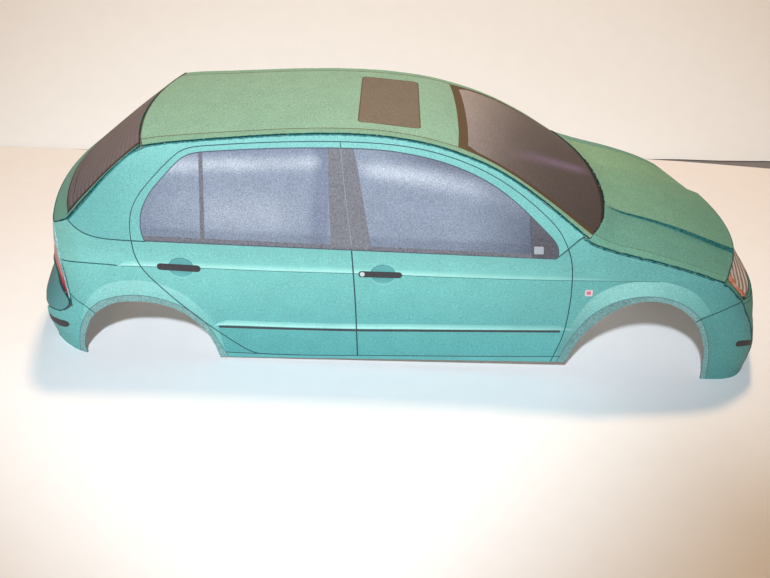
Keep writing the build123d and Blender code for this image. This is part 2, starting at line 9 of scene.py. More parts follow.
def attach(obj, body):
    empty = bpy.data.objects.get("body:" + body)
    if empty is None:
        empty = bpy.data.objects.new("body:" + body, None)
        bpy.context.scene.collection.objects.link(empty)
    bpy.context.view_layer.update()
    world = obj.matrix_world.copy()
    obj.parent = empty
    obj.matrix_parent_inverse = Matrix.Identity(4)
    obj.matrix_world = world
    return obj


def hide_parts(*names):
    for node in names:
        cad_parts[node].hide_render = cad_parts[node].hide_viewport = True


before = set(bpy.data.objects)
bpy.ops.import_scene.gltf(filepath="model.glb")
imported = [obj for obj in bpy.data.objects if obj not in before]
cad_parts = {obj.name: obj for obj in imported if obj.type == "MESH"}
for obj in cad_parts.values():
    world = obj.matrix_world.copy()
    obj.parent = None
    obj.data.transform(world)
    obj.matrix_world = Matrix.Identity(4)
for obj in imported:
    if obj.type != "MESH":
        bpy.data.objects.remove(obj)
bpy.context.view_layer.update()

# ---------------------------------------------------------------------------
# camera: three quarter view down on the right side of the shell
# ---------------------------------------------------------------------------
PITCH, YAW, ROLL = 0.548677834, 0.0108038405, -0.049026536
fw = Vector((math.sin(YAW) * math.cos(PITCH), math.cos(YAW) * math.cos(PITCH), -math.sin(PITCH)))
rt = Vector((math.cos(YAW), -math.sin(YAW), 0.0))
dn = fw.cross(rt)
r_axis = rt * math.cos(ROLL) + dn * math.sin(ROLL)
d_axis = -rt * math.sin(ROLL) + dn * math.cos(ROLL)
cam_data = bpy.data.cameras.new("camera")
cam = bpy.data.objects.new("camera", cam_data)
bpy.context.scene.collection.objects.link(cam)
m = Matrix((r_axis, -d_axis, -fw)).transposed().to_4x4()
m.translation = Vector((-6.465, -193.192, 117.464)) * 0.001
cam.matrix_world = m
cam_data.sensor_width = 36.0
cam_data.lens = 41.923
cam_data.clip_start = 0.005
cam_data.clip_end = 20.0
bpy.context.scene.camera = cam

# ---------------------------------------------------------------------------
# surfaces of the card sheets, in millimetres
# ---------------------------------------------------------------------------
CARD = 0.30
SIDE_FOOT = 33.5
SIDE_LEAN = 0.067
BELT_Z = 27.6
BELT_HALF = 31.65
WINDOW_LEAN = 0.4965
ROOF_EDGE = [
    (-61.0, 24.4, 44.35), (-55.55, 23.3, 45.33), (-51.75, 22.87, 45.95), (-47.7, 22.45, 46.4),
    (-43.7, 22.15, 46.8), (-39.7, 21.9, 47.2), (-35.6, 21.7, 47.6), (-31.6, 21.5, 48.0),
    (-27.5, 21.35, 48.35), (-23.4, 21.2, 48.63), (-19.4, 21.1, 48.87), (-15.3, 21.0, 49.0),
    (-11.2, 21.0, 49.02), (-7.2, 21.05, 48.93), (-3.1, 21.2, 48.62), (1.0, 21.45, 48.15),
    (5.2, 21.8, 47.45), (9.3, 22.3, 46.4), (13.5, 22.95, 45.15), (17.7, 23.8, 43.55),
    (21.9, 25.05, 41.55), (26.1, 26.5, 39.2), (30.3, 28.15, 36.6), (34.6, 29.65, 33.7),
    (36.75, 30.3, 32.3), (40.0, 31.2, 30.2)]
ROOF_BOW = [(-61.0, -3.7, 0.42), (-55.5, -3.3, 0.42), (-47.6, -2.2, 0.42), (-35.6, -0.9, 0.42),
            (-17.6, 0.0, 0.42), (1.0, 0.5, 0.40), (9.3, 1.1, 0.35), (17.7, 2.1, 0.05),
            (26.0, 3.6, -0.35), (30.3, 5.0, -0.80), (34.5, 6.9, -1.10), (36.7, 8.0, -1.2),
            (40.0, 9.5, -1.3)]
SCREEN_FOOT = [(36.75, 30.3), (38.6, 27.2), (40.7, 22.6), (42.4, 17.4), (43.6, 11.4), (44.15, 6.1), (44.3, 0.0)]
REAR_LIP = [(-55.55, 23.3), (-56.6, 20.0), (-57.9, 13.0), (-58.6, 6.5), (-58.85, 0.0)]
WING_FOLD = [(35.45, 32.55), (36.6, 31.95), (38.8, 31.1), (41.3, 30.4), (43.2, 29.9), (47.4, 29.0),
             (51.7, 28.1), (56.1, 27.0), (60.5, 25.75), (64.0, 24.5), (66.5, 23.5)]
REAR_ARCH = [(-69.3, 0.0), (-69.6, 1.2), (-69.6, 2.8), (-69.2, 4.7), (-68.4, 7.15), (-67.1, 9.4), (-65.8, 10.75),
             (-64.0, 12.05), (-62.0, 12.9), (-59.9, 13.35), (-57.6, 13.5), (-55.0, 13.45),
             (-52.5, 13.1), (-50.35, 12.5), (-48.3, 11.6), (-46.2, 10.25), (-44.15, 8.3),
             (-42.5, 6.2), (-41.3, 3.95), (-40.6, 1.85), (-40.2, 0.62)]
FRONT_ARCH = [(35.45, 3.0), (36.25, 5.35), (37.35, 7.95), (38.75, 10.5), (40.5, 12.8), (42.4, 14.75),
              (44.3, 16.2), (46.2, 17.35), (48.2, 18.15), (50.25, 18.65), (52.35, 18.8), (54.5, 18.55),
              (56.8, 17.85), (59.05, 16.7), (60.9, 15.2), (62.2, 13.75), (63.3, 11.95), (64.25, 10.0),
              (64.95, 7.6), (65.4, 5.4), (65.65, 3.0), (65.8, 0.0)]
NOSE_EDGE = [(76.9, 0.0), (77.1, 2.6), (77.1, 5.2), (76.8, 8.1), (75.9, 11.0), (74.6, 13.7),
             (73.1, 16.3), (71.8, 18.5), (70.5, 19.8), (68.9, 21.4), (67.4, 22.65), (66.4, 23.15)]
TAIL_EDGE = [(-70.35, 31.3), (-74.4, 29.0), (-74.35, 26.0), (-73.85, 23.0), (-73.2, 20.6), (-72.5, 17.5),
             (-72.1, 14.5), (-71.75, 12.2), (-71.6, 11.2)]
TAIL_WRAP = [(-73.0, 10.2), (-74.5, 9.4), (-76.3, 9.0), (-78.5, 8.65), (-78.3, 6.2), (-77.8, 2.6), (-77.4, 0.0)]
BELT_TAIL = [(-55.5, BELT_Z), (-59.5, 27.65), (-62.4, 27.8), (-64.85, 28.15), (-66.85, 28.85), (-68.45, 29.75),
             (-70.35, 31.3)]
STEP_EDGE = [(40.0, 12.4, 31.75, 0.35), (43.6, 12.8, 31.0, 0.40), (47.0, 13.1, 30.3, 0.45),
             (51.5, 13.5, 29.5, 0.55), (56.0, 13.9, 28.55, 0.65), (60.6, 14.4, 27.4, 0.80),
             (65.3, 14.7, 25.9, 0.90), (70.2, 14.75, 24.15, 1.0), (73.7, 14.6, 22.95, 1.05),
             (77.0, 14.5, 21.75, 1.05)]
BONNET_CROWN = 0.35
SHOULDER_FRONT = [(72.25, 18.9), (70.55, 22.6), (68.7, 26.6), (67.4, 29.3)]
SHOULDER_BACK = [(36.9, 27.4), (39.0, 22.6), (40.8, 17.4), (42.2, 12.8)]
NOSE_MID = [(0.0, 81.8), (2.5, 82.2), (5.0, 82.3), (8.3, 82.2), (11.0, 81.2), (13.5, 80.2),
            (16.0, 78.9), (18.6, 77.3), (19.4, 76.9)]
NOSE_CURVE = [(0.0, 0.0063), (8.3, 0.00635), (11.0, 0.00585), (13.5, 0.00536), (16.0, 0.0022), (18.6, 0.0), (19.4, 0.0)]
NOSE_FLAT = [(0.0, 0.0), (8.3, 0.0), (13.5, 0.0), (16.0, 3.2e-6), (18.6, 5.04e-6), (19.4, 5.1e-6)]
NOSE_CORNER = [(0.0, 0.0), (8.3, 0.0), (11.0, 0.03), (13.5, 0.07), (16.0, 0.092), (18.6, 0.119), (19.4, 0.12)]
NOSE_HALF = [(27.7, 0.0), (28.0, 2.5), (28.4, 5.0), (29.0, 8.3), (29.3, 11.0), (29.6, 13.7),
             (29.75, 16.3), (29.7, 18.4)]
NOSE_START = [(-2.0, 61.7), (0.0, 61.9), (8.3, 62.9), (13.5, 61.4), (18.7, 58.8), (23.5, 55.9), (28.0, 54.4), (36.0, 53.0)]
TAIL_START = [(-2.0, 66.8), (0.0, 67.1), (9.0, 69.6), (12.0, 67.9), (20.0, 67.1), (29.0, 66.4), (36.0, 66.0)]
REAR_BULGE = [(0.0, 1.9), (4.0, 2.5), (8.3, 3.1), (9.2, 3.5), (11.3, 3.05), (13.7, 1.9),
              (16.2, 0.85), (18.6, 0.35), (19.5, 0.32)]
CAP_TOP, CAP_FOOT, BAND_TOP = 19.5, 8.8, 8.7
GLASS_BOW = (-0.35, 0.9)
CAP_END = [(28.0, CAP_FOOT), (30.4, 9.4), (31.8, 9.85), (32.5, 10.75), (32.7, 11.9), (32.2, 12.9),
           (31.2, 13.6), (29.8, 15.3), (28.7, 17.7), (27.0, CAP_TOP)]
WINDOW_SIDE = [(27.7, 29.2), (30.45, 31.5), (29.9, 33.1), (28.05, 36.7), (26.2, 39.65), (24.6, 42.4), (23.65, 44.8), (23.4, 45.4)]
PILLAR_EDGE = [(-57.95, 43.65), (-61.1, 41.05), (-64.0, 38.15), (-67.15, 34.6), (-69.1, 32.55)]
LIP_X = [(0.0, 75.8), (7.3, 75.3), (14.6, 73.7), (18.9, 72.25), (22.6, 70.55), (26.6, 68.7), (29.3, 67.4), (31.5, 66.2)]
LIP_Z = [(0.0, 22.4), (7.3, 22.4), (14.6, 21.85), (18.9, 22.0), (22.6, 22.35), (26.6, 22.9), (29.3, 23.3), (31.5, 23.6)]


def curve(table, x, col=1):
    x = np.asarray(x, float)
    xs = np.array([r[0] for r in table], float)
    ys = np.array([r[col] for r in table], float)
    h = np.diff(xs)
    d = np.diff(ys) / h
    s = np.empty(len(xs))
    s[0], s[-1] = d[0], d[-1]
    s[1:-1] = (d[:-1] * h[1:] + d[1:] * h[:-1]) / (h[:-1] + h[1:])
    i = np.clip(np.searchsorted(xs, x, side="right") - 1, 0, len(xs) - 2)
    t = (x - xs[i]) / h[i]
    v = (ys[i] * (2 * t ** 3 - 3 * t * t + 1) + h[i] * s[i] * (t ** 3 - 2 * t * t + t)
         + ys[i + 1] * (3 * t * t - 2 * t ** 3) + h[i] * s[i + 1] * (t ** 3 - t * t))
    v = np.where(x <= xs[0], ys[0] + (x - xs[0]) * d[0], v)
    return np.where(x >= xs[-1], ys[-1] + (x - xs[-1]) * d[-1], v)


def side_half(x, z):
    x, z = np.asarray(x, float), np.asarray(z, float)
    w = SIDE_FOOT - SIDE_LEAN * z
    db = np.maximum(0.0, -x - curve(TAIL_START, z))
    df = np.maximum(0.0, x - curve(NOSE_START, z))
    e = np.maximum(0.0, df - 15.6)
    back = 0.0606 * db * db
    front = (0.04 * df * np.minimum(1.0, df / 3) + 5.2 * (np.minimum(df, 15.6) / 15.1) ** 6 + 2.4 * e / (1 + e / 2.5)
             + 1.0 * np.exp(-((x - 34.2) / 2.6) ** 2) * np.clip((z - BELT_Z) / 4.2, 0, 1))
    return w - np.where(x < 0, back, front)


def window_half(x, z):
    x, z = np.asarray(x, float), np.asarray(z, float)
    t = np.clip((x - 16.0) / 13.5, 0, 1)
    u = np.clip((-42.0 - x) / 14.0, 0, 1)
    return (BELT_HALF - WINDOW_LEAN * (z - BELT_Z) + t * t * (3 - 2 * t) * np.clip((z - BELT_Z) / 4.2, 0, 1)
            + 0.45 * u * u * (3 - 2 * u) * np.clip((z - BELT_Z) / 12.0, 0, 1))


def roof_height(x, y):
    x, y = np.asarray(x, float), np.asarray(y, float)
    s = x + 0.0 * y
    for _ in range(12):
        v = np.minimum(1.3, np.abs(y) / curve(ROOF_EDGE, s))
        s = x - curve(ROOF_BOW, s) * (1 - v * v)
    v = np.minimum(1.3, np.abs(y) / curve(ROOF_EDGE, s))
    return curve(ROOF_EDGE, s, 2) + curve(ROOF_BOW, s, 2) * (1 - v * v)


def rear_face(y, z=15.0):
    a = np.abs(np.asarray(y, float))
    t = np.clip((np.asarray(z, float) - 20.0) / 9.3, 0, 1)
    return -79.0 + 0.2 * t + (0.00433 + 0.00137 * t) * a * a + (0.0673 - 0.047 * t) * np.maximum(0.0, a - 25.0) ** 2


def bumper_back(y, z):
    a = np.abs(np.asarray(y, float))
    taper = 1.0 - 0.65 * np.clip((a - 22.0) / 9.0, 0, 1) ** 2 * np.clip((np.asarray(z, float) - 8.8) / 4.5, 0, 1)
    return rear_face(y) - curve(REAR_BULGE, z) * np.where(np.asarray(z) > BAND_TOP + 0.05, taper, 1.0)


def glass_back(y, z):
    y, z = np.asarray(y, float), np.asarray(z, float)
    t = (z - 29.3) / (45.9 - 29.3)
    s = np.minimum(1.0, (y / 24.0) ** 2)
    bow = GLASS_BOW[0] * (1 - s) + GLASS_BOW[1] * s
    return (1 - t) * rear_face(y, 29.3) + t * (-58.86 + 0.0067 * y * y) - bow * 4 * t * (1 - t)


def nose_face(y, z):
    y = np.asarray(y, float)
    return (curve(NOSE_MID, z) - np.maximum(0.0, curve(NOSE_CURVE, z)) * y * y - np.maximum(0.0, curve(NOSE_FLAT, z)) * y ** 4
            - np.maximum(0.0, curve(NOSE_CORNER, z)) * np.maximum(0.0, np.abs(y) - 26.0) ** 2)


def bonnet_height(x, y):
    w = curve(STEP_EDGE, x, 1)
    return curve(STEP_EDGE, x, 2) + BONNET_CROWN * (1 - (y / w) ** 2)


def shoulder_height(x, y):
    w = curve(STEP_EDGE, x, 1)
    z0 = curve(STEP_EDGE, x, 2) - curve(STEP_EDGE, x, 3)
    z1 = curve(WING_FOLD, x)
    w1 = side_half(x, z1)
    t = (np.abs(y) - w) / (w1 - w)
    return z0 + (z1 - z0) * t + 0.5 * t * (1 - t)


BELT_LINE = sorted(BELT_TAIL + [(30.2, BELT_Z), (35.45, 32.22), (-20.0, BELT_Z), (0.0, BELT_Z)])


def belt_height(x):
    xs = np.array([p[0] for p in BELT_LINE])
    zs = np.array([p[1] for p in BELT_LINE])
    return np.interp(x, xs, zs)


def S_low(a, b):
    return np.stack([a, -side_half(a, b), b], -1)


def S_band(a, b):
    zb = belt_height(a)
    c = side_half(a, zb) - window_half(a, zb)
    return np.stack([a, -(window_half(a, b) + c * np.exp(-np.maximum(0.0, b - zb) / 1.5)), b], -1)


def S_roof(a, b):
    return np.stack([a, b, roof_height(a, b)], -1)


FOOT_TABLE = sorted((w, x) for x, w in SCREEN_FOOT)


def lifted(a, b, base):
    """the bonnet card rides up over the foot of the windscreen"""
    w = np.minimum(np.abs(b), 30.2)
    xf = curve(FOOT_TABLE, w)
    rise = np.maximum(0.0, roof_height(xf, w) + 0.28 - base(xf, w))
    d = np.maximum(0.0, a - xf)
    t = np.clip((np.abs(b) - 28.6) / 2.6, 0, 1)
    return base(a, b) + rise * np.exp(-(d / 2.2) ** 1.5) * (1 - t * t * (3 - 2 * t))


def S_bonnet(a, b):
    return np.stack([a, b, lifted(a, b, bonnet_height)], -1)


def S_shoulder(a, b):
    return np.stack([a, b, lifted(a, b, shoulder_height)], -1)


def S_glass(a, b):
    return np.stack([glass_back(a, b), a, b], -1)


def S_tail(a, b):
    return np.stack([rear_face(a, np.where(b > 22.0, 22.0 + (b - 22.0) * 0.9, b)), a, b], -1)


def S_cap(a, b):
    return np.stack([bumper_back(a, b), a, b], -1)


def S_nose(a, b):
    return np.stack([nose_face(a, b), a, b], -1)


def S_lamp(a, b):
    """front panel: a is y, b runs from the bonnet's lip down to the bumper"""
    q = np.abs(a)
    xt, zt = curve(LIP_X, q), curve(LIP_Z, q) - 0.32
    zb = 18.6 - 0.0009 * a * a
    xb = nose_face(a, 18.6) + 0.1
    return np.stack([xt - 0.5 + (xb - xt + 0.5) * b, a, zt + (zb - zt) * b], -1)


# ---------------------------------------------------------------------------
# curves in a sheet's own plane
# ---------------------------------------------------------------------------
def smooth(pts, step=0.7, closed=False):
    """a curve through the points, in even short steps"""
    p = [np.array(q, float) for q in pts]
    n = len(p)
    if n < 3:
        return straight(pts, step)
    out = []
    for i in range(n if closed else n - 1):
        p1, p2 = p[i], p[(i + 1) % n]
        p0 = p[i - 1] if (closed or i > 0) else 2 * p1 - p2
        p3 = p[(i + 2) % n] if (closed or i + 2 < n) else 2 * p2 - p1
        d0 = max(1e-6, np.linalg.norm(p1 - p0)) ** 0.5
        d1 = max(1e-6, np.linalg.norm(p2 - p1)) ** 0.5
        d2 = max(1e-6, np.linalg.norm(p3 - p2)) ** 0.5
        m1 = (p1 - p0) / d0 - (p2 - p0) / (d0 + d1) + (p2 - p1) / d1
        m2 = (p2 - p1) / d1 - (p3 - p1) / (d1 + d2) + (p3 - p2) / d2
        m1, m2 = m1 * d1, m2 * d1
        k = max(1, int(round(np.linalg.norm(p2 - p1) / step)))
        for j in range(k):
            t = j / k
            out.append(p1 * (2 * t ** 3 - 3 * t * t + 1) + m1 * (t ** 3 - 2 * t * t + t)
                       + p2 * (3 * t * t - 2 * t ** 3) + m2 * (t ** 3 - t * t))
    if not closed:
        out.append(p[-1])
    return [tuple(q) for q in out]


def straight(pts, step=1.0, closed=False):
    p = [np.array(q, float) for q in pts]
    out = []
    for i in range(len(p) if closed else len(p) - 1):
        a, b = p[i], p[(i + 1) % len(p)]
        k = max(1, int(round(np.linalg.norm(b - a) / step)))
        out += [tuple(a + (b - a) * j / k) for j in range(k)]
    if not closed:
        out.append(tuple(p[-1]))
    return out


def join(*runs):
    """runs end to end, with repeated points dropped"""
    out = []
    for r in runs:
        for q in r:
            if not out or math.hypot(q[0] - out[-1][0], q[1] - out[-1][1]) > 0.02:
                out.append((float(q[0]), float(q[1])))
    if math.hypot(out[0][0] - out[-1][0], out[0][1] - out[-1][1]) < 0.02:
        out.pop()
    return out


def ragged(pts, amp, seed=0, wave=1.0):
    """a cut made by hand: small waves and nicks across the line, none at its ends"""
    p = np.array(pts, float)
    if len(p) < 3:
        return pts
    t = np.gradient(p, axis=0)
    t /= np.maximum(1e-9, np.linalg.norm(t, axis=1))[:, None]
    nrm = np.stack([-t[:, 1], t[:, 0]], -1)
    s = np.concatenate([[0], np.cumsum(np.linalg.norm(np.diff(p, axis=0), axis=1))])
    rng = np.random.RandomState(seed)
    w = np.zeros(len(p))
    for k, (lam, a) in enumerate([(7.1, 0.5), (3.3, 0.45), (1.7, 0.5), (0.95, 0.45)]):
        w += a * np.sin(2 * math.pi * s / (lam * wave) + rng.uniform(0, 6.28))
    w += 0.35 * rng.uniform(-1, 1, len(p))
    w *= np.clip(np.minimum(s, s[-1] - s) / 1.5, 0, 1)
    p = p + nrm * (w * amp)[:, None]
    return [tuple(q) for q in p]


def mirror_y(pts):
    return [(x, -y) for x, y in pts][::-1]


def ellipse(cx, cz, rx, rz, n=36):
    return [(cx + rx * math.cos(2 * math.pi * k / n), cz + rz * math.sin(2 * math.pi * k / n)) for k in range(n)]


def capsule(a, b, w, n=8):
    a, b = np.array(a, float), np.array(b, float)
    t = (b - a) / np.linalg.norm(b - a)
    u = np.array([-t[1], t[0]])
    out = []
    for c, s in ((b, 1), (a, -1)):
        for k in range(n + 1):
            f = math.pi * (0.5 - k / n)
            out.append(tuple(c + s * (t * math.cos(f) + u * math.sin(f)) * w / 2))
    return out


def rounded(pts, r, n=5):
    """polygon with rounded corners"""
    p = [np.array(q, float) for q in pts]
    out = []
    for i in range(len(p)):
        a, b, c = p[i - 1], p[i], p[(i + 1) % len(p)]
        u, v = (a - b), (c - b)
        lu, lv = np.linalg.norm(u), np.linalg.norm(v)
        k = min(r, 0.45 * lu, 0.45 * lv)
        s, e = b + u / lu * k, b + v / lv * k
        for j in range(n + 1):
            t = j / n
            out.append(tuple(s * (1 - t) ** 2 + b * 2 * t * (1 - t) + e * t * t))
    return out


def offset_line(pts, w):
    p = np.array(pts, float)
    t = np.gradient(p, axis=0)
    t /= np.maximum(1e-9, np.linalg.norm(t, axis=1))[:, None]
    nrm = np.stack([-t[:, 1], t[:, 0]], -1)
    w = np.asarray(w, float)
    return p + nrm * (w[:, None] if w.ndim else w)


def ribbon(pts, w):
    """outline of a printed line of width w"""
    half = np.asarray(w, float) / 2
    a = offset_line(pts, half)
    b = offset_line(pts, -half)
    return [tuple(q) for q in a] + [tuple(q) for q in b[::-1]]


def inside(px, poly):
    """which of the points lie in the polygon"""
    x, y = px[:, 0], px[:, 1]
    q = np.array(poly, float)
    keep = (x >= q[:, 0].min()) & (x <= q[:, 0].max()) & (y >= q[:, 1].min()) & (y <= q[:, 1].max())
    out = np.zeros(len(px), bool)
    idx = np.nonzero(keep)[0]
    if not len(idx):
        return out
    x, y = x[idx], y[idx]
    c = np.zeros(len(idx), bool)
    x0, y0 = q[:, 0], q[:, 1]
    x1, y1 = np.roll(x0, -1), np.roll(y0, -1)
    for i in range(len(q)):
        if y0[i] == y1[i]:
            continue
        hit = (y0[i] > y) != (y1[i] > y)
        c ^= hit & (x < (x1[i] - x0[i]) * (y - y0[i]) / (y1[i] - y0[i]) + x0[i])
    out[idx] = c
    return out


# ---------------------------------------------------------------------------
# a sheet of card: printed outside, bare inside, with its cut edge
# ---------------------------------------------------------------------------
def normals(S, a, b, sign):
    h = 0.02
    u = S(a + h, b) - S(a - h, b)
    v = S(a, b + h) - S(a, b - h)
    n = np.cross(u, v) * sign
    return n / np.maximum(1e-12, np.linalg.norm(n, axis=1))[:, None]


class Mesh:
    """faces gathered from several skins into one object"""

    def __init__(self):
        self.v, self.f, self.m, self.n, self.names = [], [], [], [], []

    def slot(self, name):
        if name not in self.names:
            self.names.append(name)
        return self.names.index(name)

    def add(self, verts, tris, mats, loop_normals):
        o = sum(len(x) for x in self.v)
        self.v.append(verts)
        self.f.append(np.asarray(tris) + o)
        self.m.append(np.array([self.slot(x) for x in mats]) if not isinstance(mats, np.ndarray) else mats)
        self.n.append(loop_normals)

    def make(self, name, materials, flip=False):
        v = np.concatenate(self.v) * 0.001
        v[:, 2] = np.maximum(v[:, 2], 1e-5)
        f = np.concatenate(self.f)
        mi = np.concatenate(self.m)
        n = np.concatenate(self.n)
        if flip:
            v = v * [1, -1, 1]
            f = f[:, ::-1]
            n = n.reshape(-1, 3, 3)[:, ::-1].reshape(-1, 3) * [1, -1, 1]
        me = bpy.data.meshes.new(name)
        me.vertices.add(len(v))
        me.vertices.foreach_set("co", v.astype(np.float32).ravel())
        me.loops.add(len(f) * 3)
        me.loops.foreach_set("vertex_index", f.astype(np.int32).ravel())
        me.polygons.add(len(f))
        me.polygons.foreach_set("loop_start", np.arange(0, len(f) * 3, 3, dtype=np.int32))
        me.polygons.foreach_set("material_index", mi.astype(np.int32))
        me.polygons.foreach_set("use_smooth", np.ones(len(f), bool))
        for k in self.names:
            me.materials.append(materials[k])
        me.update(calc_edges=True)
        me.validate()
        if len(me.loops) == len(n):
            me.normals_split_custom_set([tuple(q) for q in n])
        ob = bpy.data.objects.new(name, me)
        bpy.context.scene.collection.objects.link(ob)
        return ob


def sheet(M, S, outline, paint, base, sign=1, step=1.6, depth=CARD, inner="bare", rim="cut_teal", aspect=(1.0, 1.0)):
    """outline and paint are in the sheet's own two coordinates; paint is (polygon, finish) in order"""
    asp = np.array(aspect)
    pts, edges = [], []

    def chain(poly):
        o = len(pts)
        pts.extend((float(p[0]) * asp[0], float(p[1]) * asp[1]) for p in poly)
        k = len(poly)
        edges.extend((o + i, o + (i + 1) % k) for i in range(k))
    chain(outline)
    q = np.array(outline, float)
    lo, hi = q.min(0), q.max(0)
    for poly, _ in paint:
        chain(poly)
    fixed = np.array(pts)
    ga, gb = np.meshgrid(np.arange(lo[0] + step * 0.37, hi[0], step), np.arange(lo[1] + step * 0.41, hi[1], step))
    grid = np.stack([ga.ravel() + (np.arange(ga.size) // ga.shape[1] % 2) * step * 0.5, gb.ravel()], -1)
    grid = grid[inside(grid, outline)]
    if len(grid):
        near = np.full(len(grid), 9.0)
        g2 = grid * asp
        for s in range(0, len(fixed), 400):
            d = np.linalg.norm(g2[:, None, :] - fixed[None, s:s + 400, :], axis=2).min(1)
            near = np.minimum(near, d)
        pts.extend(map(tuple, g2[near > step * 0.3 * asp.min()]))
    v2, _, tri, _, _, _ = delaunay_2d_cdt([Vector(p) for p in pts], edges, [], 0, 1e-5, False)
    v2 = np.array([tuple(p) for p in v2]) / asp
    tri = np.array([t for t in tri if len(t) == 3], int)
    c = v2[tri].mean(1)
    area = np.cross(v2[tri[:, 1]] - v2[tri[:, 0]], v2[tri[:, 2]] - v2[tri[:, 0]])
    keep = inside(c, outline) & (np.abs(area) > 1e-9)
    tri, c = tri[keep], c[keep]
    names = [base] + [k for _, k in paint]
    which = np.zeros(len(tri), int)
    for k, (poly, _) in enumerate(paint):
        which[inside(c, poly)] = k + 1
    used, inv = np.unique(tri, return_inverse=True)
    tri = inv.reshape(tri.shape)
    v2 = v2[used]
    a, b = v2[:, 0], v2[:, 1]
    P = S(a, b)
    N = normals(S, a, b, sign)
    # outward triangles
    fn = np.cross(P[tri[:, 1]] - P[tri[:, 0]], P[tri[:, 2]] - P[tri[:, 0]])
    bad = (fn * N[tri].mean(1)).sum(1) < 0
    tri[bad] = tri[bad][:, ::-1]
    n = len(P)
    Q = P - N * depth
    # cut edge
    e = np.concatenate([tri[:, [0, 1]], tri[:, [1, 2]], tri[:, [2, 0]]])
    key = np.sort(e, axis=1)
    _, first, cnt = np.unique(key, axis=0, return_index=True, return_counts=True)
    rimE = e[first[cnt == 1]]
    i, j = rimE[:, 0], rimE[:, 1]
    r1 = np.stack([j, i, i + n], -1)
    r2 = np.stack([j, i + n, j + n], -1)
    V = np.concatenate([P, Q])
    rn = np.cross(V[r1[:, 1]] - V[r1[:, 0]], V[r1[:, 2]] - V[r1[:, 0]])
    rn /= np.maximum(1e-12, np.linalg.norm(rn, axis=1))[:, None]
    mid = (v2[i] + v2[j]) / 2
    rnames = [rim(x, y) for x, y in mid] if callable(rim) else [rim] * len(i)
    M.add(V,
          np.concatenate([tri, tri[:, ::-1] + n, r1, r2]),
          np.concatenate([np.array([M.slot(names[k]) for k in range(len(names))])[which],
                          np.full(len(tri), M.slot(inner)),
                          np.array([M.slot(k) for k in rnames]), np.array([M.slot(k) for k in rnames])]),
          np.concatenate([N[tri].reshape(-1, 3), -N[tri[:, ::-1]].reshape(-1, 3),
                          np.repeat(rn, 3, axis=0), np.repeat(rn, 3, axis=0)]))


# ---------------------------------------------------------------------------
# finishes
# ---------------------------------------------------------------------------
def lin(c):
    return tuple(((v / 255 / 12.92) if v / 255 <= 0.04045 else ((v / 255 + 0.055) / 1.055) ** 2.4) for v in c) + (1.0,)


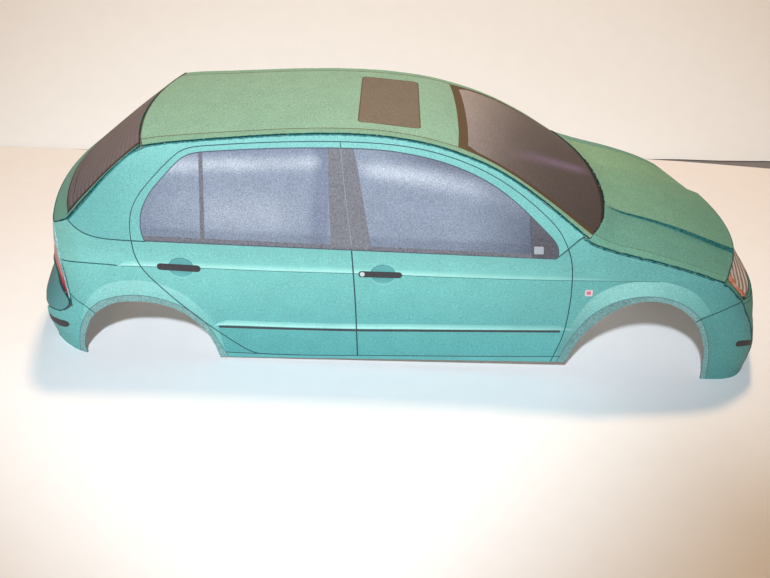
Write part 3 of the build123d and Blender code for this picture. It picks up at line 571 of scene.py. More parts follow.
class Nodes:
    def __init__(self, name):
        self.mat = bpy.data.materials.new(name)
        self.mat.use_nodes = True
        self.nt = self.mat.node_tree
        self.nt.nodes.clear()
        self.out = self.nt.nodes.new("ShaderNodeOutputMaterial")
        self.bsdf = self.nt.nodes.new("ShaderNodeBsdfPrincipled")
        self.nt.links.new(self.bsdf.outputs[0], self.out.inputs[0])
        self.pos = self.nt.nodes.new("ShaderNodeTexCoord").outputs["Object"]
        sep = self.nt.nodes.new("ShaderNodeSeparateXYZ")
        self.nt.links.new(self.pos, sep.inputs[0])
        self.x, self.y, self.z = (self.math("MULTIPLY", sep.outputs[k], 1000.0) for k in range(3))

    def put(self, socket, v):
        if isinstance(v, bpy.types.NodeSocket):
            self.nt.links.new(v, socket)
        else:
            socket.default_value = v

    def math(self, op, a, b=0.0, clamp=False):
        n = self.nt.nodes.new("ShaderNodeMath")
        n.operation = op
        n.use_clamp = clamp
        self.put(n.inputs[0], a)
        self.put(n.inputs[1], b)
        return n.outputs[0]

    def noise(self, scale, detail=2.0, rough=0.5, dist=0.0, stretch=None):
        n = self.nt.nodes.new("ShaderNodeTexNoise")
        n.inputs["Scale"].default_value = scale
        n.inputs["Detail"].default_value = detail
        n.inputs["Roughness"].default_value = rough
        n.inputs["Distortion"].default_value = dist
        if stretch:
            mp = self.nt.nodes.new("ShaderNodeMapping")
            mp.inputs["Scale"].default_value = stretch
            self.nt.links.new(self.pos, mp.inputs[0])
            self.nt.links.new(mp.outputs[0], n.inputs["Vector"])
        else:
            self.nt.links.new(self.pos, n.inputs["Vector"])
        return n.outputs["Fac"]

    def mix(self, f, a, b, kind="MIX"):
        n = self.nt.nodes.new("ShaderNodeMix")
        n.data_type = "RGBA"
        n.blend_type = kind
        n.clamp_factor = True
        self.put(n.inputs[0], f)
        self.put(n.inputs[6], a)
        self.put(n.inputs[7], b)
        return n.outputs[2]

    def ramp(self, f, stops, smooth_=True):
        n = self.nt.nodes.new("ShaderNodeValToRGB")
        n.color_ramp.interpolation = "EASE" if smooth_ else "CARDINAL"
        el = n.color_ramp.elements
        el[0].position, el[0].color = stops[0]
        el[1].position, el[1].color = stops[-1]
        for p, c in stops[1:-1]:
            e = el.new(p)
            e.color = c
        self.put(n.inputs[0], f)
        return n.outputs[0]

    def fit(self, v, lo, hi, a=0.0, b=1.0):
        n = self.nt.nodes.new("ShaderNodeMapRange")
        n.clamp = True
        self.put(n.inputs[0], v)
        for k, q in enumerate((lo, hi, a, b)):
            n.inputs[k + 1].default_value = q
        return n.outputs[0]

    def bell(self, v, c, w):
        """one at v = c, falling away over w"""
        d = self.math("DIVIDE", self.math("SUBTRACT", v, c), w)
        return self.math("EXPONENT", self.math("MULTIPLY", self.math("MULTIPLY", d, d), -1.0))

    def grey(self, v):
        n = self.nt.nodes.new("ShaderNodeCombineColor")
        for k in range(3):
            self.nt.links.new(v, n.inputs[k])
        return n.outputs[0]

    def finish(self, colour, grain=0.10, mottle=0.05, rough=0.62, bump=0.25, spec=0.35, grain_scale=4700.0):
        """ink on matt card: fine grain from the printer, a broad unevenness, and the paper's tooth"""
        g = self.noise(grain_scale, 2.0, 0.62)
        g = self.fit(g, 0.30, 0.70, 1.0 - grain, 1.0 + grain)
        mo = self.noise(190.0, 3.0, 0.55)
        mo = self.fit(mo, 0.3, 0.7, 1.0 - mottle, 1.0 + mottle)
        k = self.math("MULTIPLY", g, mo)
        col = self.mix(1.0, colour, self.grey(k), "MULTIPLY")
        self.nt.links.new(col, self.bsdf.inputs["Base Color"])
        self.bsdf.inputs["Roughness"].default_value = rough
        self.bsdf.inputs["Specular IOR Level"].default_value = spec
        bp = self.nt.nodes.new("ShaderNodeBump")
        bp.inputs["Strength"].default_value = bump
        bp.inputs["Distance"].default_value = 0.00003
        h = self.noise(5200.0, 3.0, 0.6)
        self.nt.links.new(h, bp.inputs["Height"])
        self.nt.links.new(bp.outputs[0], self.bsdf.inputs["Normal"])
        return self.mat


def plain(name, rgb, **kw):
    n = Nodes(name)
    return n.finish(lin(rgb), **kw)


MAT = {}


GRAIN = dict(grain=0.24, mottle=0.04)
TOP_GRAIN = dict(grain=0.44, mottle=0.05)


def side_inks():
    # upper half of the lower side, between the belt and the crease along the doors
    n = Nodes("ink_side_upper")
    f = n.fit(n.z, 22.5, 27.5)
    c = n.ramp(f, [(0.0, lin((124, 189, 179))), (1.0, lin((117, 180, 170)))])
    c = n.mix(n.fit(n.x, 10.0, 66.0), c, lin((88, 151, 143)))
    c = n.mix(n.fit(n.x, -66.0, -74.0), c, lin((128, 190, 176)))
    MAT["side_upper"] = n.finish(c, **GRAIN)
    # door skins below the crease
    n = Nodes("ink_side_door")
    c = n.ramp(n.fit(n.z, 9.0, 22.0), [(0.0, lin((98, 167, 161))), (1.0, lin((111, 179, 170)))])
    c = n.mix(n.fit(n.x, 10.0, 70.0), c, lin((85, 145, 139)))
    c = n.mix(n.fit(n.x, -5.0, -45.0), c, n.ramp(n.fit(n.z, 9.0, 22.0), [(0.0, lin((104, 172, 165))), (1.0, lin((120, 187, 177)))]))
    MAT["side_door"] = n.finish(c, **GRAIN)
    n = Nodes("ink_side_sill")
    c = n.ramp(n.fit(n.z, 2.0, 9.5), [(0.0, lin((87, 157, 152))), (1.0, lin((93, 163, 157)))])
    MAT["side_sill"] = n.finish(c, **GRAIN)
    MAT["side_foot"] = plain("ink_side_foot", (94, 163, 158), grain=0.12)
    for k, rgb, at in (("glow1", (164, 217, 205), (112, 170, 161)), ("glow2", (148, 208, 196), (102, 162, 153)), ("glow3", (134, 197, 186), (94, 156, 148))):
        n = Nodes("ink_" + k)
        MAT[k] = n.finish(n.mix(n.fit(n.x, 5.0, 48.0), lin(rgb), lin(at)), grain=0.10)
    n = Nodes("ink_flare")
    c = n.ramp(n.fit(n.z, 6.0, 23.0), [(0.0, lin((114, 180, 171))), (1.0, lin((148, 204, 194)))])
    c = n.mix(n.fit(n.x, 44.0, 66.0), c, lin((97, 157, 150)))
    near = n.math("MULTIPLY", n.fit(n.x, 20.0, 28.0), n.fit(n.x, 50.0, 38.0))
    c = n.mix(near, c, n.ramp(n.fit(n.z, 6.0, 22.0), [(0.0, lin((96, 148, 142))), (1.0, lin((134, 190, 180)))]))
    MAT["flare"] = n.finish(c, **GRAIN)
    n = Nodes("ink_arch_lip")
    c = n.mix(n.math("MULTIPLY", n.fit(n.x, 20.0, 28.0), n.fit(n.x, 56.0, 44.0)), lin((120, 157, 152)), lin((108, 144, 139)))
    MAT["lip"] = n.finish(c, grain=0.34, grain_scale=2900.0)
    MAT["lip_line"] = plain("ink_arch_lip_line", (74, 118, 114), grain=0.2)
    # window band
    n = Nodes("ink_band")
    c = n.ramp(n.fit(n.x, -70.0, -52.0), [(0.0, lin((94, 158, 149))), (1.0, lin((112, 176, 165)))])
    c = n.mix(n.fit(n.z, 41.0, 46.5), c, lin((122, 186, 174)))
    MAT["band"] = n.finish(c, **GRAIN)
    MAT["band_edge"] = plain("ink_band_edge", (40, 112, 108), grain=0.25)
    MAT["line"] = plain("ink_line", (44, 74, 76), grain=0.2)
    MAT["line_soft"] = plain("ink_line_soft", (64, 122, 118), grain=0.15)
    MAT["seam_dark"] = plain("ink_seam_dark", (28, 84, 82), grain=0.3)
    MAT["black"] = plain("ink_black", (60, 56, 58), grain=0.26)
    MAT["rub"] = plain("ink_rub", (62, 66, 68), grain=0.24)
    n = Nodes("ink_recess")
    c = n.ramp(n.fit(n.z, 19.8, 24.3), [(0.0, lin((98, 166, 162))), (0.5, lin((84, 150, 146))), (1.0, lin((92, 158, 154)))])
    MAT["recess"] = n.finish(c, grain=0.15)
    MAT["pale"] = plain("ink_pale", (196, 202, 200), grain=0.06)
    MAT["pillar_line"] = plain("ink_pillar_line", (146, 146, 148), grain=0.2)
    MAT["pale_pink"] = plain("ink_pale_pink", (216, 186, 188), grain=0.10)
    MAT["pink"] = plain("ink_pink", (206, 112, 126), grain=0.12)
    MAT["trim"] = plain("ink_trim", (104, 100, 104), grain=0.42, grain_scale=2900.0)
    MAT["pillar"] = plain("ink_pillar", (112, 108, 110), grain=0.36, grain_scale=3000.0)
    MAT["mirror"] = plain("ink_mirror", (84, 80, 84), grain=0.35, grain_scale=2900.0)
    MAT["patch"] = plain("ink_patch", (160, 160, 162), grain=0.1)
    n = Nodes("ink_fray")
    f = n.fit(n.noise(2200.0, 3.0, 0.7), 0.46, 0.54)
    MAT["fray"] = n.finish(n.mix(f, lin((58, 54, 48)), lin((168, 158, 146))), grain=0.3, rough=0.85, spec=0.1)
    # side windows: blue grey with a soft light band, darker along the top, the foot and the front
    n = Nodes("ink_side_glass")
    base = lin((127, 133, 145))
    c = n.mix(n.fit(n.noise(260.0, 3.0, 0.6), 0.35, 0.7, 0.0, 0.6), base, lin((138, 143, 153)))
    low = n.fit(n.z, 30.7, 29.8)
    c = n.mix(n.math("MULTIPLY", low, 0.55), c, lin((100, 105, 118)))
    c = n.mix(n.math("MULTIPLY", n.fit(n.x, -47.0, -55.5), 0.6), c, lin((100, 110, 126)))
    pale_low = n.math("MULTIPLY", n.bell(n.z, 33.6, 3.2), n.math("MULTIPLY", n.fit(n.x, -46.0, -40.0, 0.25, 1.0), n.fit(n.x, -20.0, -28.0)))
    c = n.mix(n.math("MULTIPLY", pale_low, 0.40), c, lin((178, 180, 184)))
    # rear pane
    zr = n.math("ADD", n.math("MULTIPLY", n.math("ADD", n.x, 30.0), 0.055), 42.8)
    rear = n.bell(n.z, zr, 1.35)
    rear = n.math("MULTIPLY", rear, n.fit(n.x, -18.5, -21.0))
    wob = n.fit(n.noise(120.0, 2.0, 0.5, stretch=(1.0, 0.3, 1.0)), 0.35, 0.6, 0.55, 1.0)
    rear = n.math("MULTIPLY", rear, wob)
    # front pane
    u = n.math("ADD", n.x, 5.0)
    zf = n.math("SUBTRACT", n.math("SUBTRACT", 42.2, n.math("MULTIPLY", u, 0.095)), n.math("MULTIPLY", n.math("MULTIPLY", u, u), 0.0028))
    front = n.bell(n.z, zf, 1.6)
    front = n.math("MULTIPLY", front, n.fit(n.x, -13.0, -8.0))
    front = n.math("MULTIPLY", front, n.fit(n.x, 17.0, 3.0, 0.15, 1.0))
    hi = n.math("MAXIMUM", n.math("MULTIPLY", rear, 0.62), n.math("MULTIPLY", front, 0.55))
    above = n.math("MULTIPLY", n.fit(n.math("SUBTRACT", n.z, zf), 1.2, 3.2), n.fit(n.x, -10.0, 4.0))
    c = n.mix(n.math("MULTIPLY", above, 0.8), c, lin((92, 94, 108)))
    top_r = n.math("MULTIPLY", n.fit(n.math("SUBTRACT", n.z, zr), 1.0, 2.2), n.fit(n.x, -17.0, -19.0))
    c = n.mix(n.math("MULTIPLY", top_r, 0.45), c, lin((108, 114, 132)))
    c = n.mix(n.math("MULTIPLY", n.fit(n.x, 12.0, 24.3), 0.85), c, lin((80, 86, 98)))
    c = n.mix(n.math("MULTIPLY", n.fit(n.x, -21.5, -19.5), n.fit(n.x, -16.5, -17.4, 0.0, 0.5)), c, lin((98, 102, 120)))
    c = n.mix(hi, c, lin((206, 208, 210)))
    MAT["glass"] = n.finish(c, grain=0.34, mottle=0.04, grain_scale=4000.0)
    MAT["glass_edge"] = plain("ink_glass_edge", (66, 78, 88), grain=0.2)


def top_inks():
    n = Nodes("ink_roof")
    c = n.mix(n.fit(n.x, -55.0, 5.0), lin((130, 170, 144)), lin((134, 175, 149)))
    MAT["roof"] = n.finish(c, **TOP_GRAIN)
    MAT["roof_side"] = plain("ink_roof_side", (122, 166, 138), **TOP_GRAIN)
    MAT["roof_line"] = plain("ink_roof_line", (88, 66, 46), grain=0.15)
    MAT["header"] = plain("ink_header", (86, 68, 45), grain=0.14)
    MAT["sunroof"] = plain("ink_sunroof", (111, 101, 87), grain=0.50)
    MAT["sunroof_edge"] = plain("ink_sunroof_edge", (84, 72, 56), grain=0.12)
    n = Nodes("ink_windscreen")
    f = n.fit(n.math("SUBTRACT", n.x, n.math("MULTIPLY", n.y, 0.22)), 8.0, 46.0)
    c = n.ramp(f, [(0.0, lin((158, 149, 144))), (0.4, lin((103, 95, 92))), (1.0, lin((67, 59, 59)))], False)
    line = n.math("ADD", n.math("MULTIPLY", n.math("SUBTRACT", n.x, 20.0), 0.78), -13.5)
    streak = n.bell(n.y, line, 2.4)
    streak = n.math("MULTIPLY", streak, n.fit(n.x, 18.0, 33.0))
    streak = n.math("MULTIPLY", streak, n.fit(n.x, 44.0, 39.0))
    c = n.mix(n.math("MULTIPLY", streak, 0.55), c, lin((132, 110, 142)))
    MAT["screen"] = n.finish(c, grain=0.50, mottle=0.04, rough=0.6, spec=0.25)
    MAT["screen_edge"] = plain("ink_screen_edge", (80, 60, 42), grain=0.15)
    # a near-black band along the foot of the windscreen, where the bonnet's edge rides over it
    MAT["screen_foot"] = plain("screen_foot_dark_band", (36, 29, 28), grain=0.2)
    n = Nodes("bonnet_ink_and_painted_far_light")
    c = n.mix(n.fit(n.x, 44.0, 74.0), lin((112, 158, 130)), lin((90, 140, 118)))
    # painted light: the far half of the bonnet centre is tinted a warmer, yellower green, standing in for the warm lamp
    # behind falling on that side
    far_half_painted_warm_light = n.mix(n.fit(n.x, 44.0, 74.0), lin((127, 168, 131)), lin((108, 151, 120)))
    c = n.mix(n.fit(n.y, 0.0, 24.0), c, far_half_painted_warm_light)
    MAT["bonnet"] = n.finish(c, **TOP_GRAIN)
    n = Nodes("shoulder_ink_and_painted_far_light")
    c = n.mix(n.fit(n.x, 38.0, 70.0), lin((96, 152, 135)), lin((83, 137, 120)))
    # painted light: on the far (left) shoulder the green turns warmer and yellower, standing in for the warm lamp
    # behind falling on it; the near shoulder keeps the cooler teal green
    c = n.mix(n.fit(n.y, -10.0, 10.0), c, n.mix(n.fit(n.x, 44.0, 74.0), lin((126, 169, 134)), lin((106, 153, 122))))
    MAT["shoulder"] = n.finish(c, **TOP_GRAIN)
    n = Nodes("ink_shoulder_side")
    c = n.mix(n.fit(n.x, 38.0, 70.0), lin((100, 158, 139)), lin((87, 141, 122)))
    MAT["shoulder_side"] = n.finish(c, **TOP_GRAIN)
    MAT["fine_line"] = plain("ink_fine_line", (66, 92, 74), grain=0.15)
    # hand-coloured cut edges: dark, uneven, with pale fibres where the ink missed
    for k, dark, light, cut in (("cut_dark", (18, 78, 75), (150, 182, 174), 0.66), ("cut_teal", (84, 126, 122), (170, 188, 184), 0.60),
                                ("cut_pale", (140, 178, 176), (196, 206, 204), 0.55), ("riser", (38, 92, 86), (62, 112, 104), 0.5),
                                ("cut_fringe", (16, 62, 60), (170, 190, 182), 0.63)):
        n = Nodes("edge_" + k)
        f = n.fit(n.noise(1500.0, 3.0, 0.7), cut - 0.05, cut + 0.06)
        MAT[k] = n.finish(n.mix(f, lin(dark), lin(light)), grain=0.3, rough=0.85, spec=0.1, bump=0.6)
    MAT["bare"] = plain("bare_card", (236, 233, 230), grain=0.04, mottle=0.04, rough=0.85, spec=0.15)


def end_inks():
    MAT["rear_green"] = plain("ink_rear_green", (98, 146, 128), grain=0.14)
    MAT["rear_teal"] = plain("ink_rear_teal", (96, 164, 160), grain=0.14)
    n = Nodes("ink_cap_teal")
    c = n.mix(n.fit(n.math("ABSOLUTE", n.y), 22.0, 33.0), lin((60, 112, 110)), lin((96, 150, 148)))
    MAT["cap_teal"] = n.finish(c, grain=0.14)
    MAT["band_teal"] = plain("ink_rear_band", (84, 150, 148), grain=0.14)
    n = Nodes("ink_rear_glass")
    w = n.math("SINE", n.math("MULTIPLY", n.z, 2 * math.pi / 0.78))
    c = n.mix(n.fit(w, 0.1, 0.9), lin((108, 98, 98)), lin((84, 76, 80)))
    c = n.mix(n.fit(n.z, 33.0, 45.0, 0.0, 0.5), c, lin((124, 108, 102)))
    MAT["rear_glass"] = n.finish(c, grain=0.16, rough=0.6, spec=0.25)
    MAT["rear_border"] = plain("ink_rear_border", (60, 50, 44), grain=0.2)
    MAT["rear_shade"] = plain("ink_rear_shade", (70, 128, 124), grain=0.1)
    n = Nodes("ink_tail_lamp")
    c = n.ramp(n.fit(n.z, 13.0, 27.0), [(0.0, lin((150, 50, 58))), (0.25, lin((184, 72, 82))), (0.40, lin((196, 104, 92))),
                                       (0.62, lin((196, 142, 126))), (0.85, lin((204, 170, 164))), (1.0, lin((170, 180, 174)))])
    MAT["tail_lamp"] = n.finish(c, grain=0.16, rough=0.6)
    MAT["tail_white"] = plain("ink_tail_white", (206, 202, 196), grain=0.08)
    MAT["tail_amber"] = plain("ink_tail_amber", (200, 122, 80), grain=0.1)
    MAT["plate"] = plain("ink_plate", (212, 212, 208), grain=0.04)
    MAT["lamp_edge"] = plain("ink_lamp_edge", (52, 62, 56), grain=0.2)
    n = Nodes("ink_headlamp")
    s = n.math("ADD", n.math("MULTIPLY", n.z, 1.0), n.math("MULTIPLY", n.math("ABSOLUTE", n.y), 0.07))
    w = n.math("SINE", n.math("MULTIPLY", s, 9.5))
    w2 = n.noise(700.0, 2.0, 0.7, stretch=(1.0, 0.35, 1.6))
    k = n.fit(n.math("ADD", w, n.math("MULTIPLY", w2, 1.6)), 0.1, 1.6)
    c = n.mix(k, lin((190, 178, 166)), lin((112, 94, 84)))
    MAT["headlamp"] = n.finish(c, grain=0.18, rough=0.55)
    n = Nodes("ink_indicator")
    k = n.fit(n.noise(1300.0, 3.0, 0.7, stretch=(1.0, 0.6, 1.0)), 0.42, 0.6)
    c = n.mix(k, lin((168, 84, 46)), lin((190, 150, 128)))
    MAT["indicator"] = n.finish(c, grain=0.2, rough=0.55)
    MAT["front_green"] = plain("ink_front_green", (84, 128, 106), grain=0.12)
    n = Nodes("ink_front_bumper")
    c = n.ramp(n.fit(n.z, 0.0, 18.0), [(0.0, lin((78, 132, 120))), (1.0, lin((88, 138, 118)))])
    MAT["front_bumper"] = n.finish(c, grain=0.12)
    n = Nodes("ink_grille")
    w = n.math("SINE", n.math("MULTIPLY", n.y, 2 * math.pi / 0.9))
    MAT["grille"] = n.finish(n.mix(n.fit(w, 0.3, 0.8), lin((56, 54, 56)), lin((104, 106, 108))), grain=0.15)
    n = Nodes("ink_intake")
    w = n.math("SINE", n.math("MULTIPLY", n.math("ADD", n.z, n.y), 2 * math.pi / 1.1))
    w2 = n.math("SINE", n.math("MULTIPLY", n.math("SUBTRACT", n.z, n.y), 2 * math.pi / 1.1))
    MAT["intake"] = n.finish(n.mix(n.fit(n.math("MAXIMUM", w, w2), 0.75, 0.95), lin((44, 42, 44)), lin((86, 86, 88))), grain=0.15)
    MAT["bright"] = plain("ink_bright", (182, 190, 192), grain=0.06)


side_inks()
top_inks()
end_inks()

# ---------------------------------------------------------------------------
# side panels
# ---------------------------------------------------------------------------
RUB = [(-40.1, 8.21), (-22.63, 8.46), (-9.68, 8.78), (-1.06, 9.15), (33.33, 10.61)]
CREASE = [(-59.92, 21.77), (-52.42, 21.9), (-43.46, 22.05), (-35.12, 22.08), (-26.78, 22.12), (-18.44, 22.25),
          (-12.18, 22.34), (-1.32, 22.4), (6.62, 22.44), (14.99, 22.52), (23.34, 22.64), (31.69, 22.86),
          (40.03, 23.13), (48.36, 23.42), (52.53, 23.51)]
CREASE_TAIL = [(-72.94, 21.45), (-68.45, 22.15), (-65.3, 22.08), (-62.19, 21.98), (-60.75, 21.84)]
REAR_LIP_LINE = [(-71.0, 0.0), (-70.93, 1.85), (-70.48, 4.49), (-69.92, 7.0), (-69.0, 9.0), (-67.54, 11.17), (-65.65, 12.84),
                 (-63.42, 13.91), (-60.8, 14.64), (-58.02, 15.0), (-54.86, 14.85), (-52.35, 14.38), (-49.86, 13.61),
                 (-47.79, 12.75), (-46.14, 11.73), (-44.49, 10.5), (-42.86, 8.85), (-41.26, 6.4), (-40.06, 4.07),
                 (-38.84, 1.84), (-38.3, 0.5)]
REAR_FLARE = [(-68.6, 12.0), (-67.19, 14.33), (-64.83, 16.5), (-62.62, 17.65), (-60.48, 18.2), (-57.71, 18.5), (-54.57, 18.4),
              (-52.1, 17.9), (-50.04, 17.2), (-47.99, 16.15), (-45.97, 14.65), (-43.95, 12.75), (-41.93, 10.5),
              (-40.9, 9.0), (-40.2, 7.2), (-39.7, 5.4), (-39.3, 3.6)]
FRONT_LIP_LINE = [(33.3, 2.5), (33.97, 4.2), (34.93, 6.8), (36.09, 9.45), (37.5, 12.1), (39.2, 14.45), (41.09, 16.3), (43.39, 17.84),
                  (45.97, 19.0), (48.6, 19.65), (51.09, 19.92), (53.65, 19.82), (56.51, 19.15), (59.4, 17.9),
                  (61.56, 16.3), (63.25, 14.4), (64.62, 12.0), (65.74, 9.2), (66.4, 6.24), (66.77, 3.41), (67.0, 0.0)]
FRONT_FLARE = [(33.6, 6.6), (34.99, 11.07), (36.93, 15.5), (38.62, 18.4), (40.46, 20.32), (42.77, 21.8), (45.34, 22.75),
               (48.38, 23.35), (51.47, 23.57), (54.65, 23.3), (57.54, 22.55), (60.37, 21.2), (62.4, 19.5), (64.3, 17.2),
               (64.9, 16.1)]
DOOR_FRONT_LOW = [(32.15, 30.7), (32.75, 29.4), (33.3, 28.1), (33.95, 25.4), (34.34, 21.91), (34.52, 18.36), (34.49, 14.73), (34.28, 11.53),
                  (33.8, 8.4), (33.0, 5.6), (32.2, 2.9)]
REAR_DOOR_LOW = [(-57.3, 27.7), (-56.95, 24.9), (-56.12, 22.45), (-54.83, 20.4), (-52.12, 17.4), (-49.16, 14.45),
                 (-46.14, 11.75), (-44.08, 10.0), (-42.03, 8.35), (-39.94, 6.75), (-37.83, 5.2), (-35.71, 3.75),
                 (-34.0, 2.7), (-32.49, 2.05), (-30.96, 1.85), (-22.63, 1.9), (-10.15, 2.3)]
DOOR_SHUT = [(-11.99, 27.6), (-11.57, 23.18), (-11.13, 18.51), (-10.75, 13.72), (-10.04, 2.4)]
SILL_CREASE = [(-38.84, 1.84), (-30.96, 1.82), (-22.63, 1.9), (-0.75, 2.8), (16.74, 3.5), (34.17, 4.34)]
BUMPER_LINE = [(61.92, 14.3), (63.1, 15.05), (66.63, 16.9), (69.3, 18.1), (71.9, 18.45)]
FENDER_LINE = [(-71.85, 14.08), (-70.47, 13.01), (-68.72, 12.1), (-67.54, 11.1), (-66.5, 10.1)]


def side_low_outline():
    top = [(x, z - CARD - 0.03) for x, z in WING_FOLD[:-1]]
    back = ragged(straight(TAIL_EDGE, 0.6), 0.05, 3)
    return join(
        straight([TAIL_EDGE[-1]] + TAIL_WRAP + [REAR_ARCH[0]], 0.7),
        ragged(smooth(REAR_ARCH, 0.5), 0.05, 4),
        straight([REAR_ARCH[-1], FRONT_ARCH[0]], 0.9),
        ragged(smooth(FRONT_ARCH, 0.5), 0.05, 5),
        straight([FRONT_ARCH[-1], NOSE_EDGE[0]], 0.7),
        ragged(smooth(NOSE_EDGE, 0.6), 0.05, 6),
        smooth([NOSE_EDGE[-1]] + top[::-1], 0.7),
        straight([top[0], (30.2, BELT_Z)], 0.7),
        straight([(30.2, BELT_Z), BELT_TAIL[0]], 1.4),
        smooth(BELT_TAIL, 0.7),
        back)


def rim_side(x, z):
    if x < -71.0 and z > 10.5:
        return "cut_pale" if z < 21.0 else "cut_teal"
    if z > 23.0 and x > 36.0:
        return "cut_dark"
    if x > 66.0 and z > 0.5:
        return "cut_dark"
    return "cut_teal"


def curve_above(line, d, w):
    pts = smooth(line, 1.2)
    p = offset_line(pts, d)
    return ribbon([tuple(q) for q in p], w)


def glow(line, h0, h1, lead, tail):
    """a band along a line, between two heights above it, running out at both ends"""
    pts = np.array(smooth(line, 1.0))
    d = np.concatenate([[0], np.cumsum(np.linalg.norm(np.diff(pts, axis=0), axis=1))])
    t = np.clip(d / lead, 0, 1) ** 0.6 * np.clip((d[-1] - d) / tail, 0, 1) ** 0.8
    a, b = offset_line(pts, h0 * t + 0.06), offset_line(pts, h1 * t + 0.07)
    return [tuple(q) for q in a] + [tuple(q) for q in b[::-1]]


low_paint = []
low_paint.append((join(smooth(CREASE_TAIL[:-1] + CREASE, 1.2), [(66.0, 23.8), (80, 23.8), (80, 40), (-80, 40), (-80, 21.2)]), "side_upper"))
rub_line = smooth(RUB, 1.2)
low_paint.append((join([(-38.4, -1.0)], [(-40.1, 8.2)], rub_line, [(34.9, 10.7), (36.0, -1.0)]), "side_sill"))
low_paint.append((join(straight([(-39.2, 1.84)] + SILL_CREASE[1:-1] + [(34.3, 4.34)], 1.5), [(36.5, 4.4), (36.5, -1), (-42, -1), (-42, 1.8)]), "side_foot"))
flare_r = smooth(REAR_FLARE, 0.8)
lip_r = smooth(REAR_LIP_LINE, 0.7)
low_paint.append((join(flare_r, lip_r[::-1][:-10]), "flare"))
low_paint.append((join(lip_r, [(-38, -2), (-72, -2)]), "lip"))
low_paint.append((ribbon(lip_r, 0.16), "lip_line"))
flare_f = smooth(FRONT_FLARE, 0.8)
lip_f = smooth(FRONT_LIP_LINE, 0.7)
lip_f_part = [p for p in lip_f if p[0] < 62.6]
low_paint.append((join(flare_f, lip_f_part[::-1]), "flare"))
low_paint.append((join(lip_f, [(70, -2), (33, -2)]), "lip"))
low_paint.append((ribbon(lip_f, 0.16), "lip_line"))
for k, h0, h1 in (("glow3", 0.8, 1.25), ("glow2", 0.4, 0.9), ("glow1", 0.0, 0.5)):
    low_paint.append((glow([(-60.6, 21.75)] + CREASE[1:-1], h0, h1, 2.2, 17.0), k))
for k, h0, h1 in (("glow3", 1.05, 1.5), ("glow2", 0.7, 1.1), ("glow1", 0.3, 0.75)):
    low_paint.append((glow([(-41.2, 8.3)] + RUB[1:] + [(36.4, 11.1)], h0, h1, 3.0, 4.0), k))
low_paint.append((ribbon(smooth(CREASE, 1.4), 0.16), "line_soft"))
low_paint.append((ribbon(smooth(CREASE_TAIL, 0.9), 0.26), "seam_dark"))
low_paint.append((ribbon(smooth(RUB, 1.4), 0.56), "rub"))
for pts in (DOOR_FRONT_LOW, REAR_DOOR_LOW[:-1]):
    low_paint.append((ribbon(smooth(pts, 0.9), 0.24), "line"))
low_paint.append((ribbon(smooth(DOOR_SHUT, 0.9), 0.30), "line"))
low_paint.append((ribbon(smooth(SILL_CREASE, 1.5), 0.2), "line"))
low_paint.append((ribbon(smooth(BUMPER_LINE, 0.6), 0.26), "line"))
low_paint.append((ribbon(smooth(FENDER_LINE, 0.6), 0.22), "seam_dark"))
# handles
for c, a, b, w in (((-47.42, 22.0), (-51.7, 22.03), (-44.1, 21.9), 1.55), ((-5.29, 22.42), (-9.75, 22.3), (-2.0, 22.42), 1.42)):
    low_paint.append((ellipse(c[0], c[1] - 0.08, 2.72, 2.3), "glow3"))
    low_paint.append((ellipse(c[0], c[1] + 0.06, 2.66, 2.2), "line_soft"))
    low_paint.append((ellipse(c[0], c[1], 2.56, 2.12), "recess"))
    low_paint.append((capsule(a, b, w), "black"))
low_paint.append((ellipse(-9.62, 22.28, 0.52, 0.52, 20), "pale"))
# side repeater
low_paint.append((rounded([(37.35, 19.42), (38.95, 19.46), (38.9, 20.95), (37.3, 20.88)], 0.25), "pale_pink"))
low_paint.append((rounded([(37.68, 19.74), (38.62, 19.78), (38.58, 20.62), (37.64, 20.58)], 0.25), "pink"))
# bumper mouldings
low_paint.append((join(capsule((72.6, 9.0), (72.9, 8.95), 1.45)[:9][::-1][:0] + [(72.5, 9.72), (72.0, 9.5), (71.8, 9.0), (72.0, 8.5), (72.5, 8.26)],
                       [(74.6, 8.02), (76.2, 7.45), (78.5, 6.6), (78.5, 7.95), (76.2, 8.75), (74.6, 9.4)]), "black"))
low_paint.append((join([(-80, 5.0), (-77, 5.05), (-75.5, 5.15), (-74.0, 5.6), (-73.0, 6.15), (-72.55, 6.8), (-72.75, 7.35), (-73.6, 7.5),
                        (-75, 7.25), (-77, 6.95), (-80, 6.85)]), "black"))
# darkened edges along the cut at the nose and the tail
low_paint.append((ribbon(straight(TAIL_EDGE[1:], 0.8), 0.5), "seam_dark"))
ne = smooth(NOSE_EDGE, 0.5)
kn = np.arange(len(ne))
low_paint.append((ribbon(smooth([(-54.3, BELT_Z)] + BELT_TAIL, 0.8), 0.18), "line"))
low_paint.append((ribbon(ne, 0.75 + 1.9 * np.clip(1 - kn / 26.0, 0, 1) + 0.25 * np.sin(kn * 0.9) * np.sin(kn * 0.33) + 0.1 * np.sin(kn * 2.3)), "seam_dark"))
low_paint.append((ribbon(ne[:12], 0.75 + 0.3 * np.sin(kn[:12] * 2.1)), "fray"))
edge_w = 0.2 + 0.2 * np.sin(np.arange(len(smooth(WING_FOLD[:-1], 0.5))) * 1.7) * np.sin(np.arange(len(smooth(WING_FOLD[:-1], 0.5))) * 0.53)
low_paint.append((ribbon([(x, z - 0.5) for x, z in smooth(WING_FOLD[:-1], 0.5)], np.maximum(0.15, edge_w)), "seam_dark"))

